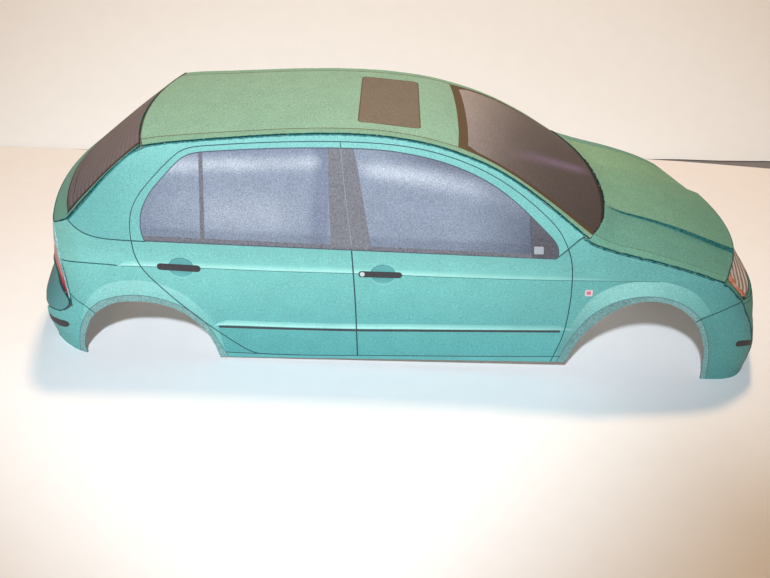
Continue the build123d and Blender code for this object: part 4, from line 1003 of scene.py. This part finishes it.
# window band
WINDOW = [(-54.6, 27.75), (-55.2, 29.0), (-55.5, 30.3), (-55.53, 31.59), (-55.35, 33.09), (-54.76, 34.77), (-53.57, 36.85),
          (-51.98, 38.73), (-50.4, 40.42), (-48.64, 42.2), (-47.25, 43.3), (-45.66, 43.98), (-43.64, 44.36), (-39.59, 44.76),
          (-35.53, 45.12), (-31.47, 45.44), (-27.4, 45.71), (-23.33, 45.93), (-15.19, 46.22), (-12.13, 46.27), (-9.07, 46.25),
          (-6.01, 46.14), (-2.93, 45.9), (1.19, 45.38), (5.31, 44.62), (9.47, 43.52), (13.65, 42.02), (17.87, 40.0),
          (22.11, 37.35), (25.31, 34.95), (28.53, 32.35), (29.88, 31.0), (30.6, 29.6), (30.7, 28.5), (30.35, 27.75), (29.6, 27.62)]
DOOR_TOP = [(-57.33, 27.7), (-57.62, 29.64), (-57.68, 31.13), (-57.55, 32.44), (-57.15, 33.94), (-56.2, 35.83), (-54.6, 37.92),
            (-52.62, 40.1), (-51.04, 41.7), (-49.5, 43.1), (-47.95, 44.3), (-46.09, 45.05), (-43.67, 45.45), (-39.62, 45.86),
            (-35.57, 46.24), (-31.5, 46.56), (-27.44, 46.84), (-19.31, 47.26), (-15.24, 47.38), (-11.17, 47.42), (-7.08, 47.36),
            (-2.99, 47.14), (1.11, 46.7), (5.24, 45.98), (9.39, 44.95), (13.56, 43.6), (17.77, 41.8), (21.97, 39.6), (26.19, 36.9),
            (29.41, 34.35), (30.97, 32.65), (32.1, 30.8), (32.75, 29.4)]


def band_outline():
    slope = (curve(ROOF_EDGE, np.array([r[0] for r in ROOF_EDGE]) + 0.5, 2)
             - curve(ROOF_EDGE, np.array([r[0] for r in ROOF_EDGE]) - 0.5, 2))
    seam = [(r[0], r[2] - CARD * math.hypot(1, s) - 0.03) for r, s in zip(ROOF_EDGE, slope)][1:-1]
    seam[0] = (-55.0, 45.05)
    top = (WING_FOLD[0][0], WING_FOLD[0][1] - CARD - 0.03)
    return join(smooth(BELT_TAIL[::-1], 0.7), straight([BELT_TAIL[0], (30.2, BELT_Z)], 1.4),
                straight([(30.2, BELT_Z), top], 0.7), straight([top, seam[-1]], 0.6),
                smooth(seam[::-1], 0.8), ragged(smooth([seam[0]] + PILLAR_EDGE + [BELT_TAIL[-1]], 0.6), 0.04, 7)), seam


band_line, seam_line = band_outline()
win = smooth(WINDOW, 0.9)
band_paint = [(win, "glass")]
band_paint.append((join([(-60, 27.0), (40, 27.0), (40, 28.55), (-60, 28.72)]), "trim_clip"))
band_paint.pop()
trim = [p for p in win if p[1] < 28.66]
band_paint.append((join([(-55.05, 28.72), (-40.0, 28.62), (0.0, 28.5), (30.7, 28.45), (30.6, 27.9), (30.2, 27.3), (-54.5, 27.3)]), "trim"))
band_paint.append((join([(-44.02, 44.45), (-43.2, 44.52), (-42.2, 28.2), (-43.15, 28.2)]), "trim"))
band_paint.append((join([(-17.75, 46.28), (-12.45, 46.36), (-11.34, 42.4), (-10.07, 36.99), (-9.18, 33.36), (-7.95, 28.1), (-16.25, 28.1),
                         (-17.02, 36.71)]), "pillar"))
band_paint.append((join([(24.2, 35.85), (24.75, 31.0), (25.2, 28.0), (25.25, 27.4), (30.2, 27.4), (30.75, 28.37), (30.66, 29.6),
                         (29.92, 31.0), (28.6, 32.35), (25.4, 34.95)]), "mirror"))
band_paint.append((rounded([(25.63, 28.5), (27.6, 28.55), (27.45, 30.1), (25.5, 30.05)], 0.25), "patch"))
band_paint.append((ribbon(smooth([(-15.07, 46.24), (-14.62, 43.18), (-13.9, 38.66), (-13.1, 34.12), (-12.05, 28.6)], 1.2), 0.10), "pillar_line"))
band_paint.append((ribbon([(24.24, 35.7), (24.78, 31.0), (25.25, 28.4)], 0.12), "glass_edge"))
band_paint.append((ribbon(win + [win[0]], 0.20), "glass_edge"))
band_paint.append((ribbon(smooth(DOOR_TOP, 0.9), 0.19), "line"))
band_paint.append((ribbon([(-15.24, 47.36), (-15.0, 46.25)], 0.2), "line"))
band_paint.append((ribbon(straight([(30.3, 27.75), (35.45, 32.4)], 0.8), 0.34), "line"))
sp = smooth([(x, z - 0.1) for x, z in seam_line], 0.5)
k = np.arange(len(sp))
sw = 0.20 + 0.14 * np.sin(k * 1.3) * np.sin(k * 0.37) + 0.1 * np.sin(k * 2.9)
band_paint.append((ribbon(sp, np.maximum(0.12, sw)), "band_edge"))
band_paint.append((ribbon(smooth([(-54.3, BELT_Z)] + BELT_TAIL, 0.8), 0.30), "seam_dark"))
pillar_line = smooth([seam_line[0]] + PILLAR_EDGE + [BELT_TAIL[-1]], 0.8)
band_paint.append((ribbon([(x + 0.12, z - 0.1) for x, z in pillar_line], 0.34), "band_edge"))


def rim_band(x, z):
    return "cut_dark"


side = Mesh()
sheet(side, S_low, side_low_outline(), low_paint, "side_door", sign=1, step=1.5, rim=rim_side)
sheet(side, S_band, band_line, band_paint, "band", sign=1, step=1.5, rim=rim_band)
right = side.make("right_side_skin", MAT)
left = side.make("left_side_skin", MAT, flip=True)

# ---------------------------------------------------------------------------
# roof and windscreen
# ---------------------------------------------------------------------------
ROOF_LINE = [(-57.6, 20.45), (-56.26, 20.4), (-52.37, 20.1), (-48.33, 19.8), (-44.2, 19.6), (-40.11, 19.4), (-31.87, 19.15), (-23.66, 18.9),
             (-15.45, 18.75), (-9.28, 18.7), (-3.07, 18.95), (1.07, 19.3), (5.22, 19.7), (9.2, 20.1)]
BORDER_OUT = [(9.09, 19.95), (14.84, 21.4), (19.68, 22.85), (24.49, 24.5), (29.4, 26.15), (34.44, 27.75), (37.3, 28.75)]
BORDER_IN = [(11.3, 18.2), (12.3, 19.2), (15.68, 20.2), (20.79, 21.75), (25.96, 23.3), (30.92, 24.85), (36.05, 26.4), (38.2, 27.0)]
roof_edge = [(r[0], r[1]) for r in ROOF_EDGE[1:-1]]
edge_r = ragged(smooth(roof_edge, 0.6), 0.06, 11)
foot = smooth(SCREEN_FOOT, 0.7)
foot_full = foot + [(x, -y) for x, y in foot[-2::-1]]
lipc = smooth(REAR_LIP, 0.7)
lip_full = [(x, -y) for x, y in lipc] + lipc[-2::-1]
roof_out = join(edge_r, ragged(foot_full, 0.05, 12), [(x, -y) for x, y in ragged(smooth(roof_edge, 0.6), 0.06, 13)][::-1], lip_full)
rp = []
for s in (1, -1):
    line = [(x, s * y) for x, y in smooth(ROOF_LINE, 1.2)]
    outer = [(x, s * (y + 3)) for x, y in smooth(roof_edge, 1.5) if x < 36]
    rp.append((join(line, [(x, s * y) for x, y in smooth(BORDER_OUT, 1.2)], outer[::-1], [(-60, s * 27)]), "roof_side"))
    rp.append((ribbon(line, 0.30), "roof_line"))
border = join([(9.05, 19.9)], smooth(BORDER_OUT, 1.2), [(46.0, 30.0), (46.0, -30.0)], [(x, -y) for x, y in smooth(BORDER_OUT, 1.2)][::-1],
              [(9.05, -19.9)], smooth([(9.05, -19.9), (9.5, -13.7), (9.72, -6.35), (9.8, 0.0), (9.72, 6.35), (9.5, 13.7), (9.05, 19.9)], 1.2))
rp.append((border, "screen_edge"))
rp.append((join(smooth([(9.05, -19.9), (9.5, -13.7), (9.72, -6.35), (9.8, 0.0), (9.72, 6.35), (9.5, 13.7), (9.05, 19.9)], 1.2),
                smooth([(11.25, 20.6), (11.62, 13.7), (11.9, 6.35), (11.95, 0.0), (11.9, -6.35), (11.62, -13.7), (11.25, -20.6)], 1.2)), "header"))
bin_r = smooth(BORDER_IN, 1.2)
foot_in = smooth([(38.2, 27.0), (39.9, 24.0), (41.1, 19.8), (42.2, 14.1), (43.0, 8.0), (43.35, 0.0)], 0.9)
half_screen = join([(11.9, 0.0), (11.85, 6.35), (11.6, 13.7), (11.3, 17.6)], bin_r[2:], foot_in)
rp.append((join([(x, -y) for x, y in half_screen], half_screen[::-1]), "screen"))
foot_band = join([(x, y) for x, y in foot_in], [(46, 0), (46, 32), (37.0, 32), (37.4, 29.2)])
rp.append((foot_band, "screen_foot"))
rp.append(([(x, -y) for x, y in foot_band], "screen_foot"))
sun = rounded([(-12.05, 14.6), (1.3, 14.8), (1.35, -15.4), (-12.0, -15.2)], 1.3)
rp.append((sun, "sunroof_edge"))
rp.append((rounded([(-11.8, 14.35), (1.05, 14.55), (1.1, -15.15), (-11.75, -14.95)], 1.2), "sunroof"))
rp.append((ribbon(lip_full, 0.5), "header"))
roof = Mesh()
sheet(roof, S_roof, roof_out, rp, "roof", sign=1, step=1.6, depth=0.40, rim="cut_dark")
roof_ob = roof.make("roof_skin", MAT)

# ---------------------------------------------------------------------------
# bonnet
# ---------------------------------------------------------------------------
mid = [(r[0], r[1]) for r in STEP_EDGE[1:-1]]
mid_edge = smooth(mid, 0.7)
xe, we = mid[-1]
arc = [(75.8 - (75.8 - xe) * (y / we) ** 2, y) for y in np.linspace(we, -we, 31)]
foot_mid = [(x - 0.12, w) for x, w in SCREEN_FOOT if w < 12.0]
foot_mid = [(43.25, 12.75)] + foot_mid
foot_mid = foot_mid[::-1]
foot_mid = [(x, -y) for x, y in foot_mid[:0:-1]] + foot_mid
foot_mid = smooth(foot_mid, 0.45)
bon_out = join(ragged([q for q in mid_edge if q[0] > 43.7], 0.04, 21), arc, [(x, -y) for x, y in ragged([q for q in mid_edge if q[0] > 43.7], 0.04, 22)][::-1],
               ragged(foot_mid, 0.11, 23))
kb = np.arange(len(foot_mid))
fringe = np.maximum(0.1, 0.42 + 0.25 * np.sin(kb * 0.7) * np.sin(kb * 0.23) + 0.14 * np.sin(kb * 2.1))
bp_ = [(ribbon(arc, 0.5), "seam_dark"), (ribbon(foot_mid, fringe), "cut_fringe")]
bonnet = Mesh()
sheet(bonnet, S_bonnet, bon_out, bp_, "bonnet", sign=1, step=1.7, rim=lambda x, y: "cut_fringe" if x < 44.6 and abs(y) < 12.6 else "riser")
# riser strips under its two long edges
for s in (1, -1):
    rs = smooth([(r[0], r[1], r[2], r[3])[:2] for r in STEP_EDGE[1:-1]], 0.9)
    xs = np.array([q[0] for q in rs])
    ws = curve(STEP_EDGE, xs)
    zt = curve(STEP_EDGE, xs, 2) - CARD * 0.9
    zb = curve(STEP_EDGE, xs, 2) - curve(STEP_EDGE, xs, 3) - 0.1
    ring = []
    for w_, z_ in ((ws, zt), (ws, zb), (ws - CARD, zb), (ws - CARD, zt)):
        ring.append(np.stack([xs, s * w_, z_], -1))
    V = np.concatenate(ring)
    n_ = len(xs)
    F = []
    for q in range(4):
        a0, b0 = q * n_, ((q + 1) % 4) * n_
        for i in range(n_ - 1):
            quad = (a0 + i, a0 + i + 1, b0 + i + 1, b0 + i)
            F += [(quad[0], quad[1], quad[2]), (quad[0], quad[2], quad[3])]
    F += [(0, n_, 2 * n_), (0, 2 * n_, 3 * n_), (n_ - 1, 3 * n_ - 1, 2 * n_ - 1), (n_ - 1, 4 * n_ - 1, 3 * n_ - 1)]
    F = np.array(F)
    if s > 0:
        F = F[:, ::-1]
    fnn = np.cross(V[F[:, 1]] - V[F[:, 0]], V[F[:, 2]] - V[F[:, 0]])
    fnn /= np.maximum(1e-12, np.linalg.norm(fnn, axis=1))[:, None]
    bonnet.add(V, F, ["riser"] * len(F), np.repeat(fnn, 3, axis=0))
bonnet_ob = bonnet.make("bonnet_skin", MAT)

inner = smooth([(r[0], -r[1]) for r in STEP_EDGE[1:-1]], 0.8)
outer = smooth([(x, -float(side_half(x, z))) for x, z in WING_FOLD[::-1]], 0.6)
fr = smooth([(inner[-1][0], inner[-1][1])] + [(x, -w) for x, w in SHOULDER_FRONT] + [outer[0]], 0.7)
bk = smooth([outer[-1], (36.62, -30.3)] + [(x - 0.12, -w) for x, w in SCREEN_FOOT[1:4]] + [(43.1, -12.9)], 0.5)
sh_out = join(inner, fr, ragged(outer, 0.04, 31, 1.7), ragged(bk, 0.06, 32))
SH_LINE = [(37.6, -28.45), (39.35, -28.4), (43.77, -28.4), (48.1, -28.5), (52.4, -28.75), (56.73, -28.95), (61.22, -28.95), (64.83, -28.55), (67.6, -27.9)]
shl = smooth(SH_LINE, 1.0)
sp_ = [(join(shl, [(70, -36), (30, -36)]), "shoulder_side"), (ribbon(shl, 0.16), "fine_line")]
ob_ = smooth([(x, -float(side_half(x, z)) + 0.12) for x, z in WING_FOLD[::-1]], 0.5)
kk = np.arange(len(ob_))
sp_.append((ribbon(ob_, np.maximum(0.06, 0.12 + 0.22 * np.sin(kk * 0.9) * np.sin(kk * 0.31) + 0.08 * np.sin(kk * 2.3))), "seam_dark"))
sp_.append((ribbon(fr, 0.3), "seam_dark"))
kc = np.arange(len(bk))
sp_.append((ribbon(bk, np.maximum(0.08, 0.2 + 0.14 * np.sin(kc * 0.8) * np.sin(kc * 0.29) + 0.08 * np.sin(kc * 2.2))), "cut_fringe"))
sh = Mesh()
sheet(sh, S_shoulder, sh_out, sp_, "shoulder", sign=1, step=1.5, rim="cut_dark")
sh_r = sh.make("bonnet_shoulder_right_skin", MAT)
sh_l = sh.make("bonnet_shoulder_left_skin", MAT, flip=True)

# ---------------------------------------------------------------------------
# front: lamp panel and bumper
# ---------------------------------------------------------------------------
HEADLAMP = [(10.6, 0.56), (13.0, 0.92), (18.8, 0.89), (23.9, 0.86), (27.1, 0.84), (28.7, 0.86), (28.25, 0.5), (27.5, 0.14),
            (25.2, 0.10), (19.2, 0.12), (15.0, 0.23)]
ORANGE = [(24.6, 0.13), (25.4, 0.30), (27.1, 0.42), (27.0, 0.62), (27.4, 0.79), (28.6, 0.85), (28.25, 0.5), (27.5, 0.14), (25.6, 0.10)]
fp = []
for s in (1, -1):
    hl = smooth([(s * y, t) for y, t in HEADLAMP], 0.6, closed=True)
    fp.append((smooth([(s * (20.6 + (y - 20.6) * 1.04), 0.5 + (t - 0.5) * 1.12) for y, t in HEADLAMP], 0.6, closed=True), "lamp_edge"))
    fp.append((hl, "headlamp"))
    fp.append((join([(s * y, t) for y, t in ORANGE]), "indicator"))
    fp.append((join([(s * y, t) for y, t in [(28.3, 0.80), (28.9, 0.83), (29.1, 0.97), (28.2, 0.98), (28.0, 0.90)]]), "black"))
grille = rounded([(-10.8, 0.10), (10.8, 0.10), (9.6, 0.93), (-9.6, 0.93)], 0.6)
fp.append((rounded([(-11.4, 0.03), (11.4, 0.03), (10.1, 0.985), (-10.1, 0.985)], 0.8), "bright"))
fp.append((grille, "grille"))
front = Mesh()
lamp_out = join([(y, 0.0) for y in np.linspace(-30.3, 30.3, 81)], [(30.3, 0.25), (30.3, 0.5), (30.3, 0.75)],
                [(y, 1.0) for y in np.linspace(30.3, -30.3, 81)], [(-30.3, 0.75), (-30.3, 0.5), (-30.3, 0.25)])
sheet(front, S_lamp, lamp_out, fp, "front_green", sign=-1, step=1.4, depth=0.35, rim="cut_dark", aspect=(1.0, 6.0))
front_ob = front.make("front_lamp_skin", MAT)

nose_half = smooth(NOSE_HALF, 0.7)
nose_out = join([(y, z) for y, z in nose_half], straight([(29.7, 18.4), (-29.7, 18.4)], 1.0), [(-y, z) for y, z in nose_half[::-1]],
                straight([(-27.7, 0.0), (27.7, 0.0)], 0.9))
npnt = []
npnt.append((rounded([(-15.5, 1.6), (15.5, 1.6), (17.5, 6.6), (-17.5, 6.6)], 1.2), "black"))
npnt.append((rounded([(-15.0, 2.0), (15.0, 2.0), (16.9, 6.2), (-16.9, 6.2)], 1.0), "intake"))
npnt.append((rounded([(-11.2, 12.4), (11.2, 12.4), (11.2, 15.6), (-11.2, 15.6)], 0.3), "line"))
npnt.append((rounded([(-10.95, 12.6), (10.95, 12.6), (10.95, 15.4), (-10.95, 15.4)], 0.25), "plate"))
for s in (1, -1):
    npnt.append((ellipse(s * 22.6, 4.2, 1.9, 1.7), "black"))
    npnt.append((ellipse(s * 22.6, 4.2, 1.45, 1.3), "headlamp"))
    npnt.append((join([(s * 17.0, 8.3), (s * 30.5, 8.3), (s * 30.5, 9.8), (s * 17.0, 9.8)]), "black"))
npnt.append((ribbon(straight([(-29.6, 17.6), (29.6, 17.6)], 1.5), 0.2), "line"))
npnt.append((ribbon(straight([(-17.0, 9.05), (17.0, 9.05)], 1.5), 0.2), "fine_line"))
nose = Mesh()
sheet(nose, S_nose, nose_out, npnt, "front_bumper", sign=1, step=1.5, rim="cut_dark")
nose_ob = nose.make("front_bumper_skin", MAT)

# ---------------------------------------------------------------------------
# rear: window, tailgate, bumper cap and band
# ---------------------------------------------------------------------------
ws_ = ragged(smooth(WINDOW_SIDE, 0.6), 0.05, 51)
rw_out = join(straight([(-27.7, 29.25), (27.7, 29.25)], 1.1), ws_, straight([(23.4, 45.4), (-23.4, 45.4)], 1.1),
              [(-y, z) for y, z in ws_[::-1]])
RG = [(-29.75, 32.0), (-29.35, 33.0), (-28.35, 34.9), (-27.55, 36.6), (-25.75, 39.6), (-24.15, 42.4), (-23.2, 44.8), (-23.1, 45.7)]
rg_side = smooth(RG, 0.8)
RL = [(29.5, 32.0), (29.0, 32.3), (24.4, 32.4), (18.3, 32.0), (11.3, 31.65), (6.2, 31.4), (0.0, 31.2)]
rg_low = smooth(RL + [(-y, z) for y, z in RL[-2::-1]], 1.5)
rg = join(rg_side, [(-y, z) for y, z in rg_side[::-1]], rg_low)
RI = [(-28.4, 32.7), (-28.1, 33.3), (-27.2, 35.0), (-26.3, 36.8), (-24.5, 39.8), (-22.85, 42.6), (-21.8, 45.0), (-21.7, 45.7)]
ri_low = smooth([(28.4, 32.7), (24.4, 32.75), (18.3, 32.35), (11.3, 32.0), (6.2, 31.75), (0.0, 31.55), (-6.2, 31.75), (-11.3, 32.0),
                 (-18.3, 32.35), (-24.4, 32.75), (-28.4, 32.7)], 1.5)
rg_in = join(smooth(RI, 0.8), [(-y, z) for y, z in smooth(RI, 0.8)[::-1]], ri_low)
rwp = [(rg, "rear_border"), (join(rg_in), "rear_glass"),
       (ribbon(smooth([(-24.0, 33.95), (-20.56, 33.74), (-15.18, 33.35), (-10.92, 33.15), (-6.0, 32.9), (2.0, 32.6)], 1.2), 0.22), "rear_border"),
       (ribbon(straight([(-28.2, 29.4), (28.2, 29.4)], 1.2), 0.34), "seam_dark"),
       (ribbon(smooth([(-28.0, 29.2), (-30.35, 31.4)], 0.6), 0.3), "seam_dark"), (ribbon(smooth([(28.0, 29.2), (30.35, 31.4)], 0.6), 0.3), "seam_dark")]
rear = Mesh()
sheet(rear, S_glass, rw_out, rwp, "rear_green", sign=-1, step=1.6, depth=0.42, rim="cut_dark")
rear_ob = rear.make("rear_window_skin", MAT)

tg_out = join(straight([(-31.3, 11.5), (31.3, 11.5)], 1.0), straight([(31.3, 11.5), (30.1, 20.6), (27.9, 29.3)], 0.9),
              straight([(27.9, 29.3), (-27.9, 29.3)], 1.0), straight([(-27.9, 29.3), (-30.1, 20.6), (-31.3, 11.5)], 0.9))
LAMP = [(24.6, 26.6), (27.6, 26.7), (28.6, 25.4), (29.7, 22.3), (30.3, 19.0), (30.75, 15.5), (30.9, 13.2), (29.8, 12.3), (28.2, 14.8),
        (27.2, 18.2), (26.3, 20.6), (25.2, 22.8), (24.5, 25.2)]
tgp = []
for s in (1, -1):
    lm = smooth([(s * y, z) for y, z in LAMP], 0.6, closed=True)
    tgp.append((smooth([(s * (28.2 + (y - 28.2) * 1.03), 19.9 + (z - 19.9) * 1.01) for y, z in LAMP], 0.6, closed=True), "black"))
    tgp.append((lm, "tail_lamp"))
    tgp.append((ribbon([(s * 28.9, 24.0), (s * 29.6, 20.0), (s * 30.1, 17.4)], 0.22), "tail_white"))
    tgp.append((ribbon(smooth([(s * 24.3, 29.3), (s * 24.0, 25.0), (s * 24.6, 20.5)], 0.9), 0.2), "line"))
tgp.append((rounded([(-13.0, 20.6), (13.0, 20.6), (13.8, 25.4), (-13.8, 25.4)], 0.8), "line_soft"))
tgp.append((rounded([(-12.7, 20.9), (12.7, 20.9), (13.4, 25.1), (-13.4, 25.1)], 0.7), "rear_shade"))
tgp.append((rounded([(-10.9, 21.4), (10.9, 21.4), (10.9, 24.3), (-10.9, 24.3)], 0.25), "plate"))
tgp.append((ribbon(straight([(-24.2, 27.2), (24.2, 27.2)], 1.5), 0.18), "line_soft"))
tgp.append((capsule((-3.0, 26.2), (3.0, 26.2), 0.9), "black"))
tail = Mesh()
sheet(tail, S_tail, tg_out, tgp, "rear_teal", sign=-1, step=1.5, rim="cut_pale")
tail_ob = tail.make("tailgate_skin", MAT)

cap_half = ragged(smooth(CAP_END, 0.4), 0.05, 42)
cap_out = join(ragged(straight([(-28.0, CAP_FOOT), (28.0, CAP_FOOT)], 0.8), 0.03, 41), cap_half,
               straight([(27.0, CAP_TOP), (-27.0, CAP_TOP)], 1.0), [(-y, z) for y, z in cap_half[::-1]])
cpp = []
for s in (1, -1):
    cpp.append((ribbon([(s * y, z) for y, z in smooth(CAP_END, 0.4)], 0.32), "seam_dark"))
    cpp.append((ribbon([(s * y, z) for y, z in smooth(CAP_END[6:9], 0.4)], 0.26), "black"))
cpp.append((ribbon(straight([(-28.0, CAP_FOOT + 0.1), (28.0, CAP_FOOT + 0.1)], 1.0), 0.36), "seam_dark"))
cpp.append((ribbon(straight([(-25.5, 17.0), (25.5, 17.0)], 1.5), 0.18), "line_soft"))
cap = Mesh()
sheet(cap, S_cap, cap_out, cpp, "cap_teal", sign=-1, step=1.3, rim="cut_dark")
cap_ob = cap.make("rear_bumper_cap_skin", MAT)

bd_out = join(straight([(-27.3, 0.0), (27.3, 0.0)], 0.9), straight([(27.3, 0.0), (27.3, 8.7)], 0.9),
              straight([(27.3, 8.7), (-27.3, 8.7)], 0.9), straight([(-27.3, 8.7), (-27.3, 0.0)], 0.9))
bdp = [(join([(-28, 5.0), (28, 5.0), (28, 6.85), (-28, 6.85)]), "black"),
       (rounded([(8.0, 1.2), (14.0, 1.2), (14.0, 3.2), (8.0, 3.2)], 0.5), "tail_lamp"),
       (rounded([(-14.0, 1.2), (-8.0, 1.2), (-8.0, 3.2), (-14.0, 3.2)], 0.5), "tail_white")]
band = Mesh()
sheet(band, S_cap, bd_out, bdp, "band_teal", sign=-1, step=1.3, rim="cut_dark")
band_ob = band.make("rear_bumper_band_skin", MAT)

# ---------------------------------------------------------------------------
# what each piece stands for
# ---------------------------------------------------------------------------
for ob, node, slot in ((right, "right_side_panel", "printed_side_card"), (left, "left_side_panel", "printed_side_card"),
                       (roof_ob, "roof_and_windscreen", "printed_roof_card"), (bonnet_ob, "bonnet_centre", "printed_bonnet_card"),
                       (sh_r, "bonnet_shoulder_right", "printed_bonnet_card"), (sh_l, "bonnet_shoulder_left", "printed_bonnet_card"),
                       (front_ob, "front_panel", "printed_front_card"), (nose_ob, "front_bumper", "printed_front_card"),
                       (rear_ob, "rear_window_panel", "printed_rear_card"), (tail_ob, "tailgate_panel", "printed_rear_card"),
                       (cap_ob, "rear_bumper_cap", "printed_rear_card"), (band_ob, "rear_bumper_band", "printed_rear_card")):
    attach(ob, "root")
    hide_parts(node)
for name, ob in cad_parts.items():
    if "_tab_" in name:
        for k in range(len(ob.material_slots)):
            ob.material_slots[k].material = MAT["bare"]

# ---------------------------------------------------------------------------
# floor and light
# ---------------------------------------------------------------------------
FLASH_W, LAMP_W, BACK_GLOW = 6.85, 6.2, 0.01


def stage_sheet(name, corners, mat):
    me = bpy.data.meshes.new(name)
    me.from_pydata([tuple(c) for c in corners], [], [tuple(range(len(corners)))])
    ob = bpy.data.objects.new(name, me)
    bpy.context.scene.collection.objects.link(ob)
    me.materials.append(mat)
    return ob


# the paper it stands on, the table under it, and a second sheet rising behind
n = Nodes("paper_floor")
paper = n.finish(lin((236, 234, 230)), grain=0.01, mottle=0.01, rough=0.8, bump=0.1, spec=0.2)
far_edge = [(0.60, 0.062), (0.1225, 0.0874), (0.1076, 0.0890), (0.0943, 0.0902), (0.0809, 0.0908), (0.0, 0.0850), (-0.0888, 0.0775),
            (-0.1114, 0.0777), (-0.1306, 0.0772), (-0.60, 0.074)]
stage_sheet("floor", [(-0.6, -0.6, 0), (0.6, -0.6, 0)] + [(x, y, 0) for x, y in far_edge], paper)
n = Nodes("table_top")
table = n.finish(lin((122, 122, 124)), grain=0.03, mottle=0.05, rough=0.7, bump=0.1, spec=0.2)
stage_sheet("table", [(-3.0, -3.0, -0.0006), (3.0, -3.0, -0.0006), (3.0, 3.0, -0.0006), (-3.0, 3.0, -0.0006)], table)
n = Nodes("paper_back")
back = n.finish(lin((243, 238, 229)), grain=0.01, mottle=0.01, rough=0.85, bump=0.1, spec=0.1)
n.bsdf.inputs["Emission Color"].default_value = (1.0, 0.74, 0.55, 1.0)
n.bsdf.inputs["Emission Strength"].default_value = BACK_GLOW
TILT = math.radians(38)
rise = Vector((0.0, math.cos(TILT), math.sin(TILT)))
near_edge = [(-0.60, 0.0735), (-0.1306, 0.0774), (-0.1114, 0.0783), (-0.0888, 0.0790), (0.0, 0.086), (0.0812, 0.0914), (0.0950, 0.0927),
             (0.1087, 0.0931), (0.1251, 0.0946), (0.60, 0.110)]
low = [Vector((x, y, -0.0003)) for x, y in near_edge]
stage_sheet("backdrop", low + [low[-1] + rise * 0.8, low[0] + rise * 0.8], back)

world = bpy.data.worlds.new("world")
bpy.context.scene.world = world
world.use_nodes = True
bg = world.node_tree.nodes["Background"]
bg.inputs[0].default_value = (1.0, 0.90, 0.82, 1.0)
bg.inputs[1].default_value = 0.10


def aim(o, at, to):
    o.location = at
    o.rotation_euler = (Vector(to) - Vector(at)).to_track_quat("-Z", "Y").to_euler()


def lamp(name, kind, at, to, watts, rgb, size=0.02, cone=None):
    d = bpy.data.lights.new(name, kind)
    d.energy = watts
    d.color = rgb
    if kind == "AREA":
        d.shape = "DISK"
        d.size = size
    else:
        d.shadow_soft_size = size
        d.spot_size = cone
        d.spot_blend = 1.0
    o = bpy.data.objects.new(name, d)
    bpy.context.scene.collection.objects.link(o)
    aim(o, at, to)
    return o


# a cool flash close by on the left of the lens, and a warm lamp above and behind
FLASH_AT = Vector((-0.042, -0.285, 0.255))
lamp("flash", "SPOT", FLASH_AT, (-0.005, 0.040, 0.0), FLASH_W, (0.74, 0.845, 0.965), 0.0105, math.radians(62))
lamp("room_lamp", "AREA", (0.05, 0.46, 0.92), (0.0, 0.0, 0.0), LAMP_W, (1.0, 0.66, 0.39), 0.13)
# the rim of the lens keeps the flash off the near right corner
edge_a, edge_b, corner = Vector((0.020, -0.100, 0.0)), Vector((0.076, -0.040, 0.0)), Vector((0.20, -0.22, 0.0))
T = 0.27
shade = [FLASH_AT.lerp(q, T) for q in (edge_a + (edge_a - edge_b) * 3, edge_b, edge_b + (corner - edge_a) * 2, edge_a + (edge_a - edge_b) * 3 + (corner - edge_a) * 2)]
rim_ob = stage_sheet("lens_rim", shade, table)
shade = [FLASH_AT.lerp(Vector(q), T) for q in ((-0.30, 0.069, 0.0), (0.03, -0.166, 0.0), (-0.10, -0.40, 0.0), (-0.45, -0.14, 0.0))]
flash_edge = stage_sheet("flash_edge", shade, table)
for ob in (rim_ob, flash_edge):
    ob.visible_camera = False
    ob.visible_glossy = False
# what comes through the thin card into the shell
for k, side_ in enumerate((1.0, -1.0)):
    g = lamp("through_card_%d" % k, "AREA", (-0.005, 0.0, 0.013), (-0.005, side_ * 0.03, 0.014), 0.0036, (0.95, 0.99, 1.0), 0.03)
    g.data.shape = "RECTANGLE"
    g.data.size = 0.118
    g.data.size_y = 0.014
    g.visible_camera = False

bpy.context.scene.view_settings.view_transform = "Standard"
